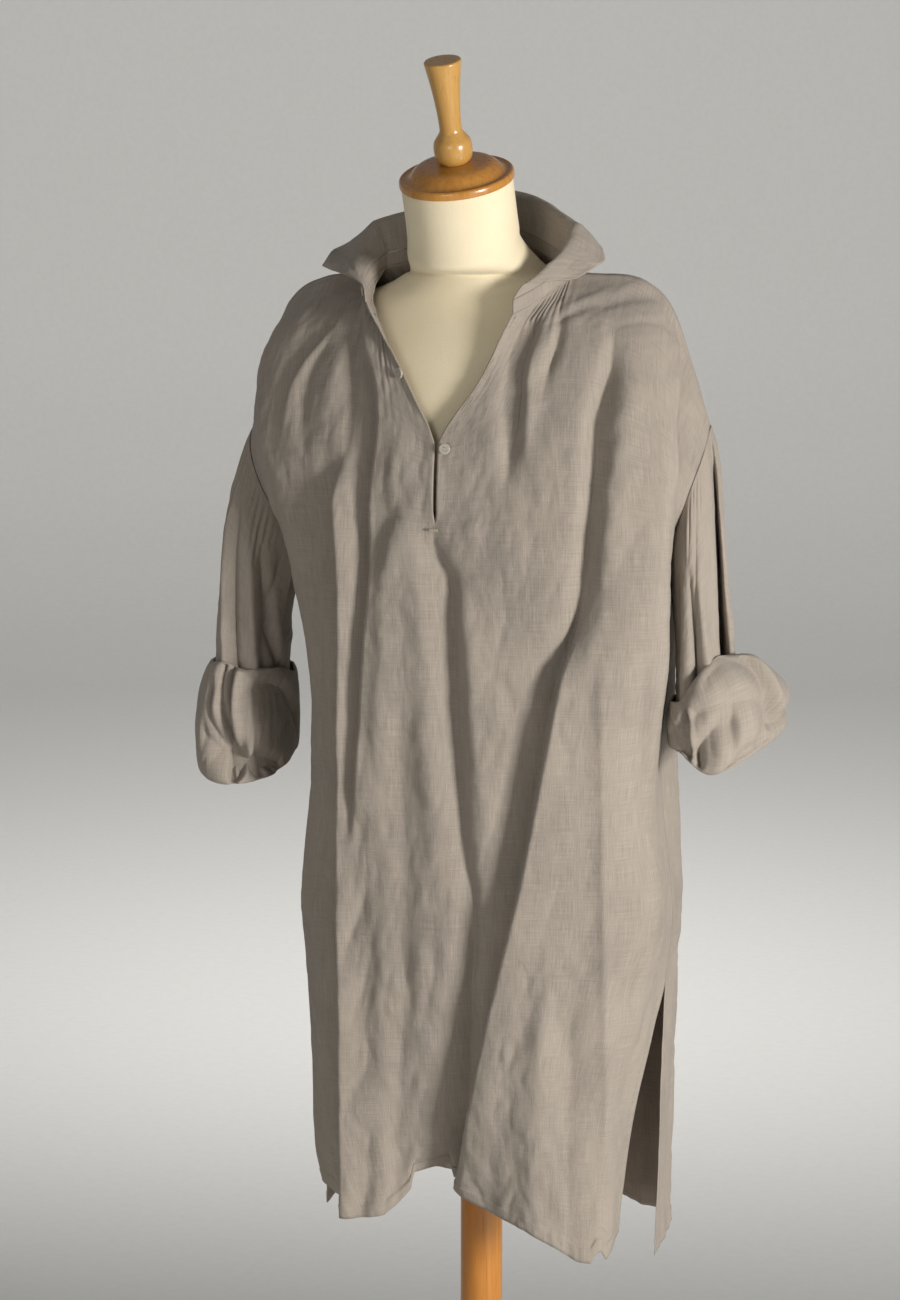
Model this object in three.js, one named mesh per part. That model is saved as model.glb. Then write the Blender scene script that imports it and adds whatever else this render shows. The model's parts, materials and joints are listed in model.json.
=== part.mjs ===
// A linen shirt on its dress form: millimetres, +Z up, the front faces -Y, the wearer's left is +X.
// The origin is the middle of the underside of the stand's base.
import * as THREE from "three";

const WALL = 1.8; // the cloth as a solid wall
const SEAM = 0.6; // between the middles of two pieces that are sewn edge to edge
const LAY = 0.35; // clear air between two pieces that lie on each other
const VIEW = THREE.MathUtils.degToRad(21); // folds are placed across this line of sight

const LINEN = { color: 0x9c8f7c, roughness: 0.92 };
const COVER = { color: 0xe6dcc0, roughness: 0.9 };
const WOOD = { color: 0xc98c3f, roughness: 0.35 };
const SHELL = { color: 0xa9a294, roughness: 0.5 };

const part = new THREE.Group();
part.name = "linen_shirt_on_dress_form";

// Small tools
const V = (x, y, z) => new THREE.Vector3(x, y, z);
const mix = (a, b, t) => a + (b - a) * t;
const clamp = (x, lo = 0, hi = 1) => Math.min(hi, Math.max(lo, x));
const ease = (x) => {
  const t = clamp(x);
  return t * t * (3 - 2 * t);
};
const steps = (n, f) => Array.from({ length: n + 1 }, (_, i) => f(i / n, i));

// Smooth interpolation of rows of numbers at rising knots (finite-difference Hermite).
function spline(knots, rows, at) {
  const n = knots.length;
  let i = 0;
  while (i < n - 2 && at > knots[i + 1]) i++;
  const h = knots[i + 1] - knots[i];
  const t = clamp((at - knots[i]) / h);
  const slope = (j, c) => {
    const a = Math.max(0, j - 1);
    const b = Math.min(n - 1, j + 1);
    return (rows[b][c] - rows[a][c]) / (knots[b] - knots[a]);
  };
  const t2 = t * t;
  const t3 = t2 * t;
  return rows[i].map(
    (p, c) =>
      p * (2 * t3 - 3 * t2 + 1) +
      rows[i + 1][c] * (3 * t2 - 2 * t3) +
      (slope(i, c) * (t3 - 2 * t2 + t) + slope(i + 1, c) * (t3 - t2)) * h,
  );
}

// Reads a table with named columns at any value of its first column.
function reader(table, key) {
  const names = Object.keys(table[0]).filter((k) => k !== key);
  const sorted = [...table].sort((a, b) => a[key] - b[key]);
  const knots = sorted.map((r) => r[key]);
  const rows = sorted.map((r) => names.map((k) => r[k]));
  return (at) => {
    const got = spline(knots, rows, clamp(at, knots[0], knots[knots.length - 1]));
    return Object.fromEntries(names.map((k, i) => [k, got[i]]));
  };
}

function addMesh(name, positions, indices, look) {
  const g = new THREE.BufferGeometry();
  g.setAttribute("position", new THREE.Float32BufferAttribute(positions, 3));
  g.setIndex(indices);
  g.computeVertexNormals();
  const mesh = new THREE.Mesh(g, new THREE.MeshStandardMaterial(look));
  mesh.name = name;
  part.add(mesh);
  return mesh;
}

function vertexNormals(points, quads) {
  const normals = points.map(() => V(0, 0, 0));
  for (const q of quads) {
    const d1 = points[q[2]].clone().sub(points[q[0]]);
    const d2 = points[q[3]].clone().sub(points[q[1]]);
    const n = d1.cross(d2);
    q.forEach((i) => normals[i].add(n));
  }
  return normals.map((n) => n.normalize());
}

// A closed wall of one thickness on an open sheet of quads: both faces and every free edge.
// With given normals the wall runs from lift to lift + thickness along them instead.
function wall(name, points, quads, thickness, given, lift = 0) {
  const look = LINEN;
  const n = points.length;
  const normals = given || vertexNormals(points, quads);
  const positions = [];
  for (const out of given ? [lift + thickness, lift] : [thickness / 2, -thickness / 2])
    points.forEach((p, i) =>
      positions.push(...p.clone().addScaledVector(normals[i], out).toArray()),
    );
  const indices = [];
  const edges = new Map();
  for (const [a, b, c, d] of quads) {
    indices.push(a, b, c, a, c, d, n + a, n + c, n + b, n + a, n + d, n + c);
    for (const [p, q] of [[a, b], [b, c], [c, d], [d, a]]) {
      if (edges.has(q + "_" + p)) edges.delete(q + "_" + p);
      else edges.set(p + "_" + q, [p, q]);
    }
  }
  for (const [p, q] of edges.values())
    indices.push(q, p, n + p, q, n + p, n + q);
  return addMesh(name, positions, indices, look);
}

// Quads of a grid whose vertex numbers come from id(row, column); faces turn with flip.
function gridQuads(rows, columns, id, flip = false) {
  const quads = [];
  for (let j = 0; j < rows; j++)
    for (let i = 0; i < columns; i++) {
      const q = [id(j, i), id(j, i + 1), id(j + 1, i + 1), id(j + 1, i)];
      quads.push(flip ? q.reverse() : q);
    }
  return quads;
}

// A closed solid through rings of points, capped with a fan at each end.
function loft(name, rings, look) {
  const n = rings[0].length;
  const positions = rings.flat().flatMap((p) => p.toArray());
  const indices = [];
  rings.slice(1).forEach((_, j) => {
    for (let i = 0; i < n; i++) {
      const [a, b] = [j * n + i, j * n + ((i + 1) % n)];
      indices.push(a, b, b + n, a, b + n, a + n);
    }
  });
  for (const [j, out] of [[0, -1], [rings.length - 1, 1]]) {
    const mid = rings[j].reduce((s, p) => s.add(p), V(0, 0, 0)).divideScalar(n);
    const m = positions.length / 3;
    positions.push(...mid.toArray());
    for (let i = 0; i < n; i++) {
      const [a, b] = [j * n + i, j * n + ((i + 1) % n)];
      indices.push(...(out > 0 ? [a, b, m] : [b, a, m]));
    }
  }
  return addMesh(name, positions, indices, look);
}

// A turned piece: a table of radius and height, put in place by a matrix.
function turned(name, profile, sides, look, matrix = new THREE.Matrix4()) {
  const rings = profile.map(({ r, z }) =>
    Array.from({ length: sides }, (_, i) => {
      const a = (2 * Math.PI * i) / sides;
      return V(r * Math.cos(a), r * Math.sin(a), z).applyMatrix4(matrix);
    }),
  );
  return loft(name, rings, look);
}

// The dress form and its stand
const NECK_LEAN = THREE.MathUtils.degToRad(19); // the neck leans forward
const NECK_FOOT = { x: -3, y: -30, z: 1512 };
const NECK_LENGTH = 114;
const NECK_RADIUS = 56.5;
const FORM_TOP_OFFSET = -2.4; // height trim that brings the form's shoulders just under the cloth
const FORM = [
  { z: 868, half: 158, front: 96, back: 98, square: 2.3 },
  { z: 880, half: 166, front: 103, back: 105, square: 2.3 },
  { z: 980, half: 160, front: 98, back: 104, square: 2.3 },
  { z: 1090, half: 143, front: 84, back: 88, square: 2.3 },
  { z: 1200, half: 156, front: 92, back: 94, square: 2.4 },
  { z: 1320, half: 170, front: 100, back: 98, square: 2.5 },
  { z: 1400, half: 180, front: 95, back: 92, square: 2.4 },
  { z: 1450, half: 186, front: 84, back: 78, square: 2.2 },
  { z: 1480, half: 178, front: 72, back: 62, square: 2.0 },
  { z: 1500, half: 148, front: 66, back: 52, square: 1.9 },
  { z: 1516, half: 104, front: 68, back: 46, square: 1.9 },
  { z: 1532, half: 74, front: 76, back: 38, square: 2.0 },
];
const FORM_SIDES = 28;

function superOval(angle, halfX, halfY, square) {
  const c = Math.cos(angle);
  const s = Math.sin(angle);
  const r = Math.pow(
    Math.pow(Math.abs(c), square) + Math.pow(Math.abs(s), square),
    -1 / square,
  );
  return [halfX * c * r, halfY * s * r];
}

const formAt = reader(FORM, "z");
const formLevels = [
  868, 872, 880, 980, 1090, 1200, 1260, 1320, 1365, 1400,
  1428, 1450, 1467, 1480, 1491, 1500, 1508, 1516, 1532,
];
const formRings = formLevels.map((z) => {
  const f = formAt(z);
  return Array.from({ length: FORM_SIDES }, (_, i) => {
    const a = (2 * Math.PI * i) / FORM_SIDES;
    const [x, y] = superOval(a, f.half, Math.sin(a) < 0 ? f.front : f.back, f.square);
    return V(x, y, z + FORM_TOP_OFFSET);
  });
});
const neckFrame = new THREE.Matrix4()
  .makeTranslation(NECK_FOOT.x, NECK_FOOT.y, NECK_FOOT.z)
  .multiply(new THREE.Matrix4().makeRotationX(NECK_LEAN));
for (const [along, r] of [[44, 58.5], [62, 56.5], [NECK_LENGTH, NECK_RADIUS]])
  formRings.push(
    Array.from({ length: FORM_SIDES }, (_, i) => {
      const a = (2 * Math.PI * i) / FORM_SIDES;
      return V(r * Math.cos(a), r * Math.sin(a), along).applyMatrix4(neckFrame);
    }),
  );
loft("dress_form", formRings, COVER);

turned(
  "neck_cap",
  [
    { r: 54, z: NECK_LENGTH + 0.3 },
    { r: 57.5, z: NECK_LENGTH + 1.5 },
    { r: 58, z: NECK_LENGTH + 4 },
    { r: 57, z: NECK_LENGTH + 8 },
    { r: 54, z: NECK_LENGTH + 9.5 },
    { r: 47, z: NECK_LENGTH + 11 },
    { r: 40, z: NECK_LENGTH + 15 },
    { r: 30, z: NECK_LENGTH + 19.5 },
    { r: 17, z: NECK_LENGTH + 21 },
  ],
  28,
  WOOD,
  neckFrame,
);
const FINIAL = NECK_LENGTH + 21.3;
turned(
  "finial",
  [
    { r: 15, z: FINIAL },
    { r: 18.2, z: FINIAL + 5 },
    { r: 19.4, z: FINIAL + 13 },
    { r: 18.4, z: FINIAL + 22 },
    { r: 13.6, z: FINIAL + 29 },
    { r: 11.4, z: FINIAL + 33 },
    { r: 11.8, z: FINIAL + 52 },
    { r: 14.6, z: FINIAL + 78 },
    { r: 18.2, z: FINIAL + 100 },
    { r: 18.6, z: FINIAL + 103 },
    { r: 17.4, z: FINIAL + 104.5 },
  ],
  20,
  WOOD,
  neckFrame,
);

const BASE = { radius: 200, height: 28 };
const POLE_RADIUS = 22.5;
turned(
  "stand_base",
  [
    { r: BASE.radius - 4, z: 0 },
    { r: BASE.radius, z: 5 },
    { r: BASE.radius, z: 15 },
    { r: BASE.radius - 10, z: 20 },
    { r: 96, z: 23 },
    { r: 44, z: 25 },
    { r: 34, z: BASE.height },
  ],
  36,
  WOOD,
);
turned(
  "pole",
  [
    { r: POLE_RADIUS, z: BASE.height + 0.3 },
    { r: POLE_RADIUS, z: 868 + FORM_TOP_OFFSET - 0.3 },
  ],
  32,
  WOOD,
);

// The shirt's form
// Each row is one section of a panel, from the middle of the body to its outer edge.
// middle, chest, corner and edge are points of the section; the edge is the armhole down to the
// underarm and the side seam below it.
const FRONT_LEFT = [
  { row: 0, middle: [62, -88, 1492], chest: [101, -14, 1532],
    corner: [192, 8, 1507], edge: [239, 14, 1378] },
  { row: 1, middle: [33, -101, 1428], chest: [108, -72, 1478],
    corner: [200, -50, 1450], edge: [239, -14, 1350] },
  { row: 2, middle: [-8, -112, 1362], chest: [112, -98, 1392],
    corner: [212, -74, 1366], edge: [231, -32, 1315] },
  { row: 3, middle: [0, -117, 1300], chest: [116, -106, 1308],
    corner: [219, -78, 1300], edge: [215, -24, 1275] },
  { row: 4, middle: [0, -119, 1235], chest: [118, -110, 1238],
    corner: [221, -79, 1238], edge: [197, 6, 1245] },
  { row: 5, middle: [0, -121, 1130], chest: [116, -112, 1130],
    corner: [219, -78, 1130], edge: [192, 8, 1130] },
  { row: 6, middle: [0, -121, 1000], chest: [114, -112, 1000],
    corner: [202, -72, 1000], edge: [194, 10, 1000] },
  { row: 7, middle: [0, -121, 880], chest: [114, -113, 880],
    corner: [206, -74, 880], edge: [206, 12, 880] },
  { row: 8, middle: [0, -122, 800], chest: [112, -116, 800],
    corner: [192, -84, 800], edge: [202, 6, 800] },
  { row: 9, middle: [0, -118, 690], chest: [106, -124, 690],
    corner: [170, -98, 688], edge: [190, -50, 686] },
  { row: 10, middle: [0, -112, 606], chest: [108, -128, 600],
    corner: [166, -108, 602], edge: [182, -66, 606] },
  { row: 11, middle: [0, -108, 556], chest: [112, -130, 548],
    corner: [166, -112, 548], edge: [178, -74, 556] },
];
const FRONT_RIGHT = [
  { row: 0, middle: [-92, -87, 1500], chest: [-101, -14, 1532],
    corner: [-209, -10, 1498], edge: [-250, 2, 1378] },
  { row: 1, middle: [-46, -102, 1432], chest: [-112, -72, 1478],
    corner: [-219, -54, 1444], edge: [-252, -24, 1350] },
  { row: 2, middle: [-8, -112, 1362], chest: [-114, -98, 1392],
    corner: [-214, -76, 1366], edge: [-238, -40, 1315] },
  { row: 3, middle: [0, -117, 1300], chest: [-116, -107, 1308],
    corner: [-206, -80, 1300], edge: [-220, -32, 1275] },
  { row: 4, middle: [0, -119, 1235], chest: [-116, -112, 1238],
    corner: [-190, -80, 1238], edge: [-200, -6, 1245] },
  { row: 5, middle: [0, -121, 1130], chest: [-116, -114, 1130],
    corner: [-176, -76, 1130], edge: [-190, -2, 1130] },
  { row: 6, middle: [0, -121, 1000], chest: [-114, -114, 1000],
    corner: [-174, -76, 1000], edge: [-194, 0, 1000] },
  { row: 7, middle: [0, -121, 880], chest: [-114, -115, 880],
    corner: [-178, -78, 880], edge: [-207, 2, 880] },
  { row: 8, middle: [0, -122, 800], chest: [-114, -118, 800],
    corner: [-172, -84, 800], edge: [-203, -2, 800] },
  { row: 9, middle: [0, -118, 690], chest: [-108, -124, 690],
    corner: [-156, -96, 690], edge: [-178, -44, 690] },
  { row: 10, middle: [0, -112, 606], chest: [-96, -128, 604],
    corner: [-142, -106, 604], edge: [-168, -62, 606] },
  { row: 11, middle: [0, -108, 556], chest: [-84, -130, 550],
    corner: [-128, -110, 550], edge: [-156, -68, 556] },
];
const BACK = [
  { row: 0, middle: [0, 62, 1555], chest: [101, -14, 1532],
    corner: [192, 8, 1507], edge: [239, 14, 1378] },
  { row: 1, middle: [0, 84, 1500], chest: [104, 52, 1486],
    corner: [192, 52, 1440], edge: [237, 48, 1345] },
  { row: 2, middle: [0, 102, 1420], chest: [110, 96, 1404],
    corner: [206, 74, 1366], edge: [226, 60, 1305] },
  { row: 3, middle: [0, 108, 1320], chest: [112, 104, 1316],
    corner: [204, 82, 1300], edge: [210, 42, 1268] },
  { row: 4, middle: [0, 112, 1240], chest: [112, 106, 1240],
    corner: [190, 82, 1240], edge: [197, 6, 1245] },
  { row: 5, middle: [0, 114, 1130], chest: [112, 108, 1130],
    corner: [184, 82, 1130], edge: [192, 8, 1130] },
  { row: 6, middle: [0, 116, 1000], chest: [112, 110, 1000],
    corner: [188, 84, 1000], edge: [194, 10, 1000] },
  { row: 7, middle: [0, 118, 880], chest: [112, 114, 880],
    corner: [192, 88, 880], edge: [206, 12, 880] },
  { row: 8, middle: [0, 120, 800], chest: [112, 116, 800],
    corner: [188, 90, 800], edge: [202, 8, 800] },
  { row: 9, middle: [0, 122, 690], chest: [110, 118, 690],
    corner: [186, 88, 690], edge: [202, -8, 690] },
  { row: 10, middle: [0, 124, 596], chest: [108, 120, 594],
    corner: [184, 90, 586], edge: [202, -14, 582] },
  { row: 11, middle: [0, 126, 520], chest: [108, 122, 516],
    corner: [184, 90, 510], edge: [200, -18, 506] },
];
// The front hem's height across the same line of sight.
const FRONT_HEM = [
  { across: -170, z: 546 },
  { across: -157, z: 541 },
  { across: -136, z: 541 },
  { across: -103, z: 547 },
  { across: -84, z: 566 },
  { across: -72, z: 592 },
  { across: -42, z: 600 },
  { across: -32, z: 585 },
  { across: 4, z: 572 },
  { across: 42, z: 564 },
  { across: 73, z: 547 },
  { across: 100, z: 533 },
  { across: 125, z: 535 },
  { across: 140, z: 548 },
];
const SPLIT_ROW = 3.3; // the front slit ends here
const SLIT_X = -8; // the slit hangs a little to the wearer's right of the middle
const UNDERARM_ROW = 4;
const VENT_ROW = 8; // the side vents start here
const SECTION_KNOTS = [0, 0.42, 0.78, 1];
const NECK_S = SECTION_KNOTS[1]; // where the neckline meets the shoulder seam
const NECK_BOW = 9; // how far the neckline bows out from the straight

// Folds as seen from the photograph's side: across (mm to the right of the pole) and height.
// depth is outwards; left and right are the widths of its two flanks.
const FRONT_FOLDS = [
  { depth: -9, left: 9, right: 14,
    path: [
      [-122, 1492], [-124, 1460], [-110, 1395], [-114, 1330],
      [-117, 1270], [-122, 1160], [-128, 1050], [-134, 985],
    ] },
  { depth: 6, left: 16, right: 12, path: [[-128, 1500], [-168, 1462], [-200, 1416], [-210, 1372]] },
  { depth: -7, left: 10, right: 16, path: [[-160, 1310], [-158, 1240], [-160, 1150]] },
  { depth: 7, left: 16, right: 20,
    path: [[-152, 1170], [-155, 1060], [-156, 940], [-152, 800], [-148, 700], [-134, 610]] },
  { depth: -7, left: 12, right: 12,
    path: [
      [-50, 1275], [-42, 1235], [-34, 1225], [-31, 1140],
      [-20, 1015], [-13, 880], [-20, 740], [-28, 590],
    ] },
  { depth: -8, left: 9, right: 9, path: [[52, 1490], [28, 1420], [24, 1362], [22, 1320]] },
  { depth: 5, left: 10, right: 10, path: [[72, 1500], [50, 1430], [46, 1370], [44, 1320]] },
  { depth: -9, left: 9, right: 12,
    path: [[126, 1470], [128, 1430], [113, 1362], [108, 1320], [98, 1270], [90, 1150]] },
  { depth: 13, left: 22, right: 46,
    path: [
      [82, 1160], [70, 1080], [56, 990], [42, 920], [30, 850],
      [6, 760], [-12, 680], [-24, 600], [-34, 560],
    ] },
  { depth: -10, left: 20, right: 12,
    path: [[56, 1100], [36, 990], [20, 900], [4, 820], [-18, 740], [-34, 660], [-46, 590]] },
  { depth: -7, left: 20, right: 18, path: [[160, 1190], [164, 1080], [166, 980], [160, 900]] },
  { depth: 5, left: 14, right: 14,
    path: [[122, 1140], [124, 1000], [126, 860], [130, 720], [132, 600]] },
  { depth: -6, left: 12, right: 12, path: [[172, 850], [152, 790], [146, 740], [142, 620]] },
];
const BACK_FOLDS = [
  { depth: 10, width: 26, lean: 10, across: 0, top: 1480, foot: 560 },
  { depth: -9, width: 22, lean: -14, across: 52, top: 1470, foot: 560 },
  { depth: -9, width: 20, lean: 18, across: -58, top: 1476, foot: 560 },
  { depth: 8, width: 24, lean: -20, across: 112, top: 1440, foot: 540 },
  { depth: 8, width: 22, lean: 14, across: -118, top: 1430, foot: 540 },
  { depth: -7, width: 20, lean: 0, across: 158, top: 1230, foot: 620 },
  { depth: -7, width: 18, lean: -6, across: -154, top: 1240, foot: 600 },
];

// Signed distance from a fold's path and how far along it the foot of that distance lies.
function nearPath(path, r, z) {
  let best = { d: 1e9, along: 0 };
  let total = 0;
  for (let i = 0; i < path.length - 1; i++) {
    const [[r0, z0], [r1, z1]] = [path[i], path[i + 1]];
    const [dr, dz] = [r1 - r0, z1 - z0];
    const len = Math.hypot(dr, dz);
    const t = clamp(((r - r0) * dr + (z - z0) * dz) / (len * len));
    const [er, ez] = [r - r0 - t * dr, z - z0 - t * dz];
    const d = Math.hypot(er, ez) * Math.sign(er * -dz + ez * dr || 1);
    if (Math.abs(d) < Math.abs(best.d)) best = { d, along: total + t * len };
    total += len;
  }
  return { ...best, total };
}

function frontFold(p) {
  const r = p.x * Math.cos(VIEW) + p.y * Math.sin(VIEW);
  let out = 0;
  for (const f of FRONT_FOLDS) {
    const { d, along, total } = nearPath(f.path, r, p.z);
    const w = d > 0 ? f.right : f.left;
    out += f.depth * Math.exp(-((d / w) ** 2)) * ease(along / 110 + 0.1) * ease((total - along) / 110 + 0.1);
  }
  return out;
}

function backFold(p) {
  let out = 0;
  for (const f of BACK_FOLDS) {
    const x = f.across + (f.lean * (f.top - p.z)) / (f.top - f.foot);
    const fade = ease((f.top - p.z) / 90) * ease((p.z - f.foot + 120) / 90);
    out += f.depth * Math.exp(-(((p.x - x) / f.width) ** 2)) * fade;
  }
  return out;
}

// A point of a panel before its folds: s runs from the middle to the edge, row down the table.
function panelBase(table, other, s, row) {
  const column = (rows, key) => spline(rows.map((r) => r.row), rows.map((r) => r[key]), row);
  const below = row <= VENT_ROW ? [UNDERARM_ROW, VENT_ROW] : [VENT_ROW, 11];
  const stretch = row <= UNDERARM_ROW ? [0, UNDERARM_ROW] : below;
  const points = [
    ...["middle", "chest", "corner"].map((key) => column(table, key)),
    column(table.slice(stretch[0], stretch[1] + 1), "edge"),
  ];
  const isFront = table === FRONT_LEFT || table === FRONT_RIGHT;
  if (row >= 2) points[0][0] = isFront ? SLIT_X * (1 - ease((row - SPLIT_ROW) / 1.5)) : 0;
  const slit = table === FRONT_LEFT || table === FRONT_RIGHT ? row < SPLIT_ROW : false;
  const smooth = V(
    ...(slit
      ? spline(SECTION_KNOTS, points, s)
      : spline([-SECTION_KNOTS[1], ...SECTION_KNOTS], [column(other, "chest"), ...points], s)),
  );
  if (row >= 1) return smooth;
  // At the top the section turns from the neckline into the shoulder seam.
  const neck = slit
    ? spline([0, NECK_S], points.slice(0, 2), s)
    : spline([-NECK_S, 0, NECK_S], [column(other, "chest"), ...points.slice(0, 2)], s);
  const top = V(...(s <= NECK_S ? neck : spline(SECTION_KNOTS.slice(1), points.slice(1), s)));
  if (s < NECK_S) top.x += (slit ? NECK_BOW : 0) * Math.sin((Math.PI * s) / NECK_S) * Math.sign(top.x);
  return top.lerp(smooth, ease(row));
}

const mirrored = (table) =>
  table.map((r) => ({
    row: r.row,
    ...Object.fromEntries(
      ["middle", "chest", "corner", "edge"].map((k) => [k, [-r[k][0], r[k][1], r[k][2]]]),
    ),
  }));
// The back's outer edges are the front's, so that the two meet at the shoulder and side seams.
const meet = (table, front) =>
  table.map((r, i) => ({
    ...r,
    edge: (i > 0 && i < UNDERARM_ROW) || i > VENT_ROW ? r.edge : front[i].edge,
    ...(i === 0 ? { chest: front[0].chest, corner: front[0].corner } : {}),
  }));
const BACK_LEFT = meet(BACK, FRONT_LEFT);
const BACK_RIGHT = meet(mirrored(BACK), FRONT_RIGHT).map((r, i) =>
  i > VENT_ROW ? { ...r, edge: [r.edge[0] + 16, r.edge[1] + 24, r.edge[2]] } : r,
);

const HEM_ROW = 9.5; // the hem's own line is worked in from here down
const hemAt = reader(FRONT_HEM, "across");
const SLIT_HALF = 1.6; // half the closed slit's gap
const HALVES = {
  front: { left: [FRONT_LEFT, FRONT_RIGHT], right: [FRONT_RIGHT, FRONT_LEFT] },
  back: { left: [BACK_LEFT, BACK_RIGHT], right: [BACK_RIGHT, BACK_LEFT] },
};

// A point of the finished cloth, folds included.
function clothPoint(face, side, s, row) {
  const [own, other] = HALVES[face][side];
  const p = panelBase(own, other, s, row);
  const e = 0.004;
  const at = (s, row) => panelBase(own, other, s, row);
  const ds = at(Math.min(1, s + e), row).sub(at(Math.max(0, s - e), row));
  const dr = at(s, Math.min(11, row + 0.02)).sub(at(s, Math.max(0, row - 0.02)));
  const n = ds.cross(dr).normalize();
  if ((face === "front") === (side === "left")) n.negate();
  if (n.y * (face === "front" ? -1 : 1) < 0 && Math.abs(n.y) > 0.5) n.negate();
  const fold = face === "front" ? frontFold(p) : backFold(p);
  const calm = ease((1 - s) / 0.12) * ease(row / 0.25 + (face === "front" ? 0.25 : 0));
  p.addScaledVector(n, fold * calm);
  p.y += face === "front" ? -SEAM / 2 : SEAM / 2;
  if (face === "front" && row > HEM_ROW) {
    const across = p.x * Math.cos(VIEW) + p.y * Math.sin(VIEW);
    p.z += (hemAt(across).z - 552) * ease((row - HEM_ROW) / (11 - HEM_ROW));
  }
  if (face === "front" && row < SPLIT_ROW) {
    const open = SLIT_HALF * ease((SPLIT_ROW - row) / 0.2) * (1 - s) ** 4;
    p.x += side === "left" ? open : -open;
  }
  return p;
}

// The panels
function panel(name, face, columns, rowList) {
  const points = [];
  const ids = { left: [], right: [] };
  rowList.forEach((row, j) => {
    for (const side of ["right", "left"])
      ids[side][j] = steps(columns, (s, i) => {
        if (i === 0 && side === "left" && !(face === "front" && row < SPLIT_ROW)) return ids.right[j][0];
        return points.push(clothPoint(face, side, s, row)) - 1;
      });
  });
  const quads = [];
  const rows = rowList.length - 1;
  quads.push(...gridQuads(rows, columns, (j, i) => ids.right[j][i], face === "front"));
  quads.push(...gridQuads(rows, columns, (j, i) => ids.left[j][i], face !== "front"));
  const turnedQuads = quads.map((q) => [...q].reverse());
  const normals = vertexNormals(points, turnedQuads);
  // Along the shoulder and side seams both panels' edges are cut square to the seam,
  // so they face each other flat.
  rowList.forEach((row, j) => {
    for (const side of ["left", "right"])
      ids[side][j].forEach((k, i) => {
        const shoulder = row === 0 && i / columns > NECK_S - 0.03;
        const sideSeam = i === columns && row >= UNDERARM_ROW && row <= VENT_ROW;
        if (shoulder || sideSeam) normals[k].setY(0).normalize();
      });
  });
  wall(name, points, turnedQuads, WALL, normals, -WALL / 2);
  return { points, ids, normals };
}
const spread = (list) =>
  list.slice(1).flatMap(([row, n], i) =>
    Array.from({ length: n }, (_, k) => mix(list[i][0], row, k / n)),
  ).concat(list[list.length - 1][0]);
const FRONT_ROWS = spread([
  [0, 0], [1, 4], [2, 4], [SPLIT_ROW, 5], [UNDERARM_ROW, 2], [5, 3],
  [6, 3], [7, 3], [8, 3], [9, 3], [10, 3], [11, 2],
]);
const BACK_ROWS = spread([
  [0, 0], [1, 3], [2, 3], [UNDERARM_ROW, 5], [5, 2], [6, 2], [7, 2], [8, 2], [9, 2], [10, 2], [11, 1],
]);
const FRONT = panel("front_panel", "front", 16, FRONT_ROWS);
panel("back_panel", "back", 13, BACK_ROWS);


// Neckband and collar
// The neckline of both panels, from the wearer's right front round the neck to the left front.
function neckline(at) {
  if (at < 0.25) return clothPoint("front", "right", NECK_S * (at / 0.25), 0);
  if (at < 0.5) return clothPoint("back", "right", NECK_S * (1 - (at - 0.25) / 0.25), 0);
  if (at < 0.75) return clothPoint("back", "left", NECK_S * ((at - 0.5) / 0.25), 0);
  return clothPoint("front", "left", NECK_S * (1 - (at - 0.75) / 0.25), 0);
}
const NECK_CENTRE = V(0, -20, 0);
// stand and fall are the collar's leans from upright in degrees below and above its roll line;
// roll is how far up the roll line lies, swing turns the ends of the collar backwards.
const COLLAR = [
  { at: 0, band: 10, stand: 60, fall: 78, roll: 16, swing: -64 },
  { at: 0.1, band: 4, stand: 48, fall: 84, roll: 22, swing: -56 },
  { at: 0.25, band: -6, stand: 18, fall: 130, roll: 36, swing: -14 },
  { at: 0.38, band: -10, stand: 8, fall: 152, roll: 40, swing: -4 },
  { at: 0.5, band: -12, stand: 4, fall: 160, roll: 42, swing: 0 },
  { at: 0.62, band: -10, stand: 4, fall: 152, roll: 40, swing: 4 },
  { at: 0.75, band: -12, stand: 2, fall: 138, roll: 34, swing: 14 },
  { at: 0.9, band: -6, stand: 24, fall: 100, roll: 26, swing: 56 },
  { at: 1, band: 2, stand: 42, fall: 86, roll: 20, swing: 84 },
];
const collarAt = reader(COLLAR, "at");
const BAND_HEIGHT = 14;
const BAND_WALL = 2.2;
const COLLAR_WIDTH = 72;
const ROLL_SOFTNESS = 20; // length of cloth over which the collar turns from stand to fall

function neckProfile(at, length) {
  const c = collarAt(at);
  const foot = neckline(at);
  const plan = V(foot.x, foot.y - NECK_CENTRE.y, 0).normalize();
  plan.applyAxisAngle(V(0, 0, 1), THREE.MathUtils.degToRad(c.swing));
  const lean = (l) =>
    THREE.MathUtils.degToRad(
      l < BAND_HEIGHT + c.roll / 2
        ? mix(c.band, c.stand, ease((l - BAND_HEIGHT + 3) / 9))
        : mix(c.stand, c.fall, ease((l - BAND_HEIGHT - c.roll) / ROLL_SOFTNESS + 0.5)),
    );
  const p = foot.clone();
  const n = Math.max(2, Math.ceil(length / 2));
  for (let k = 0; k < n; k++) {
    const a = lean(((k + 0.5) * length) / n);
    p.addScaledVector(plan, (Math.sin(a) * length) / n);
    p.z += (Math.cos(a) * length) / n;
  }
  return p;
}
const NECK_COLUMNS = 28;
function neckPiece(name, lengths, thickness) {
  const points = lengths.flatMap((length) => steps(NECK_COLUMNS, (t) => neckProfile(t, length)));
  const w = NECK_COLUMNS + 1;
  return wall(name, points, gridQuads(lengths.length - 1, NECK_COLUMNS, (j, i) => j * w + i), thickness);
}
neckPiece("neckband", [SEAM + 0.3, BAND_HEIGHT], BAND_WALL);
neckPiece("collar", [1.2, 10, 20, 28, 34, 40, 47, 56, COLLAR_WIDTH].map((l) => BAND_HEIGHT + l), 1.8);

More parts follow.
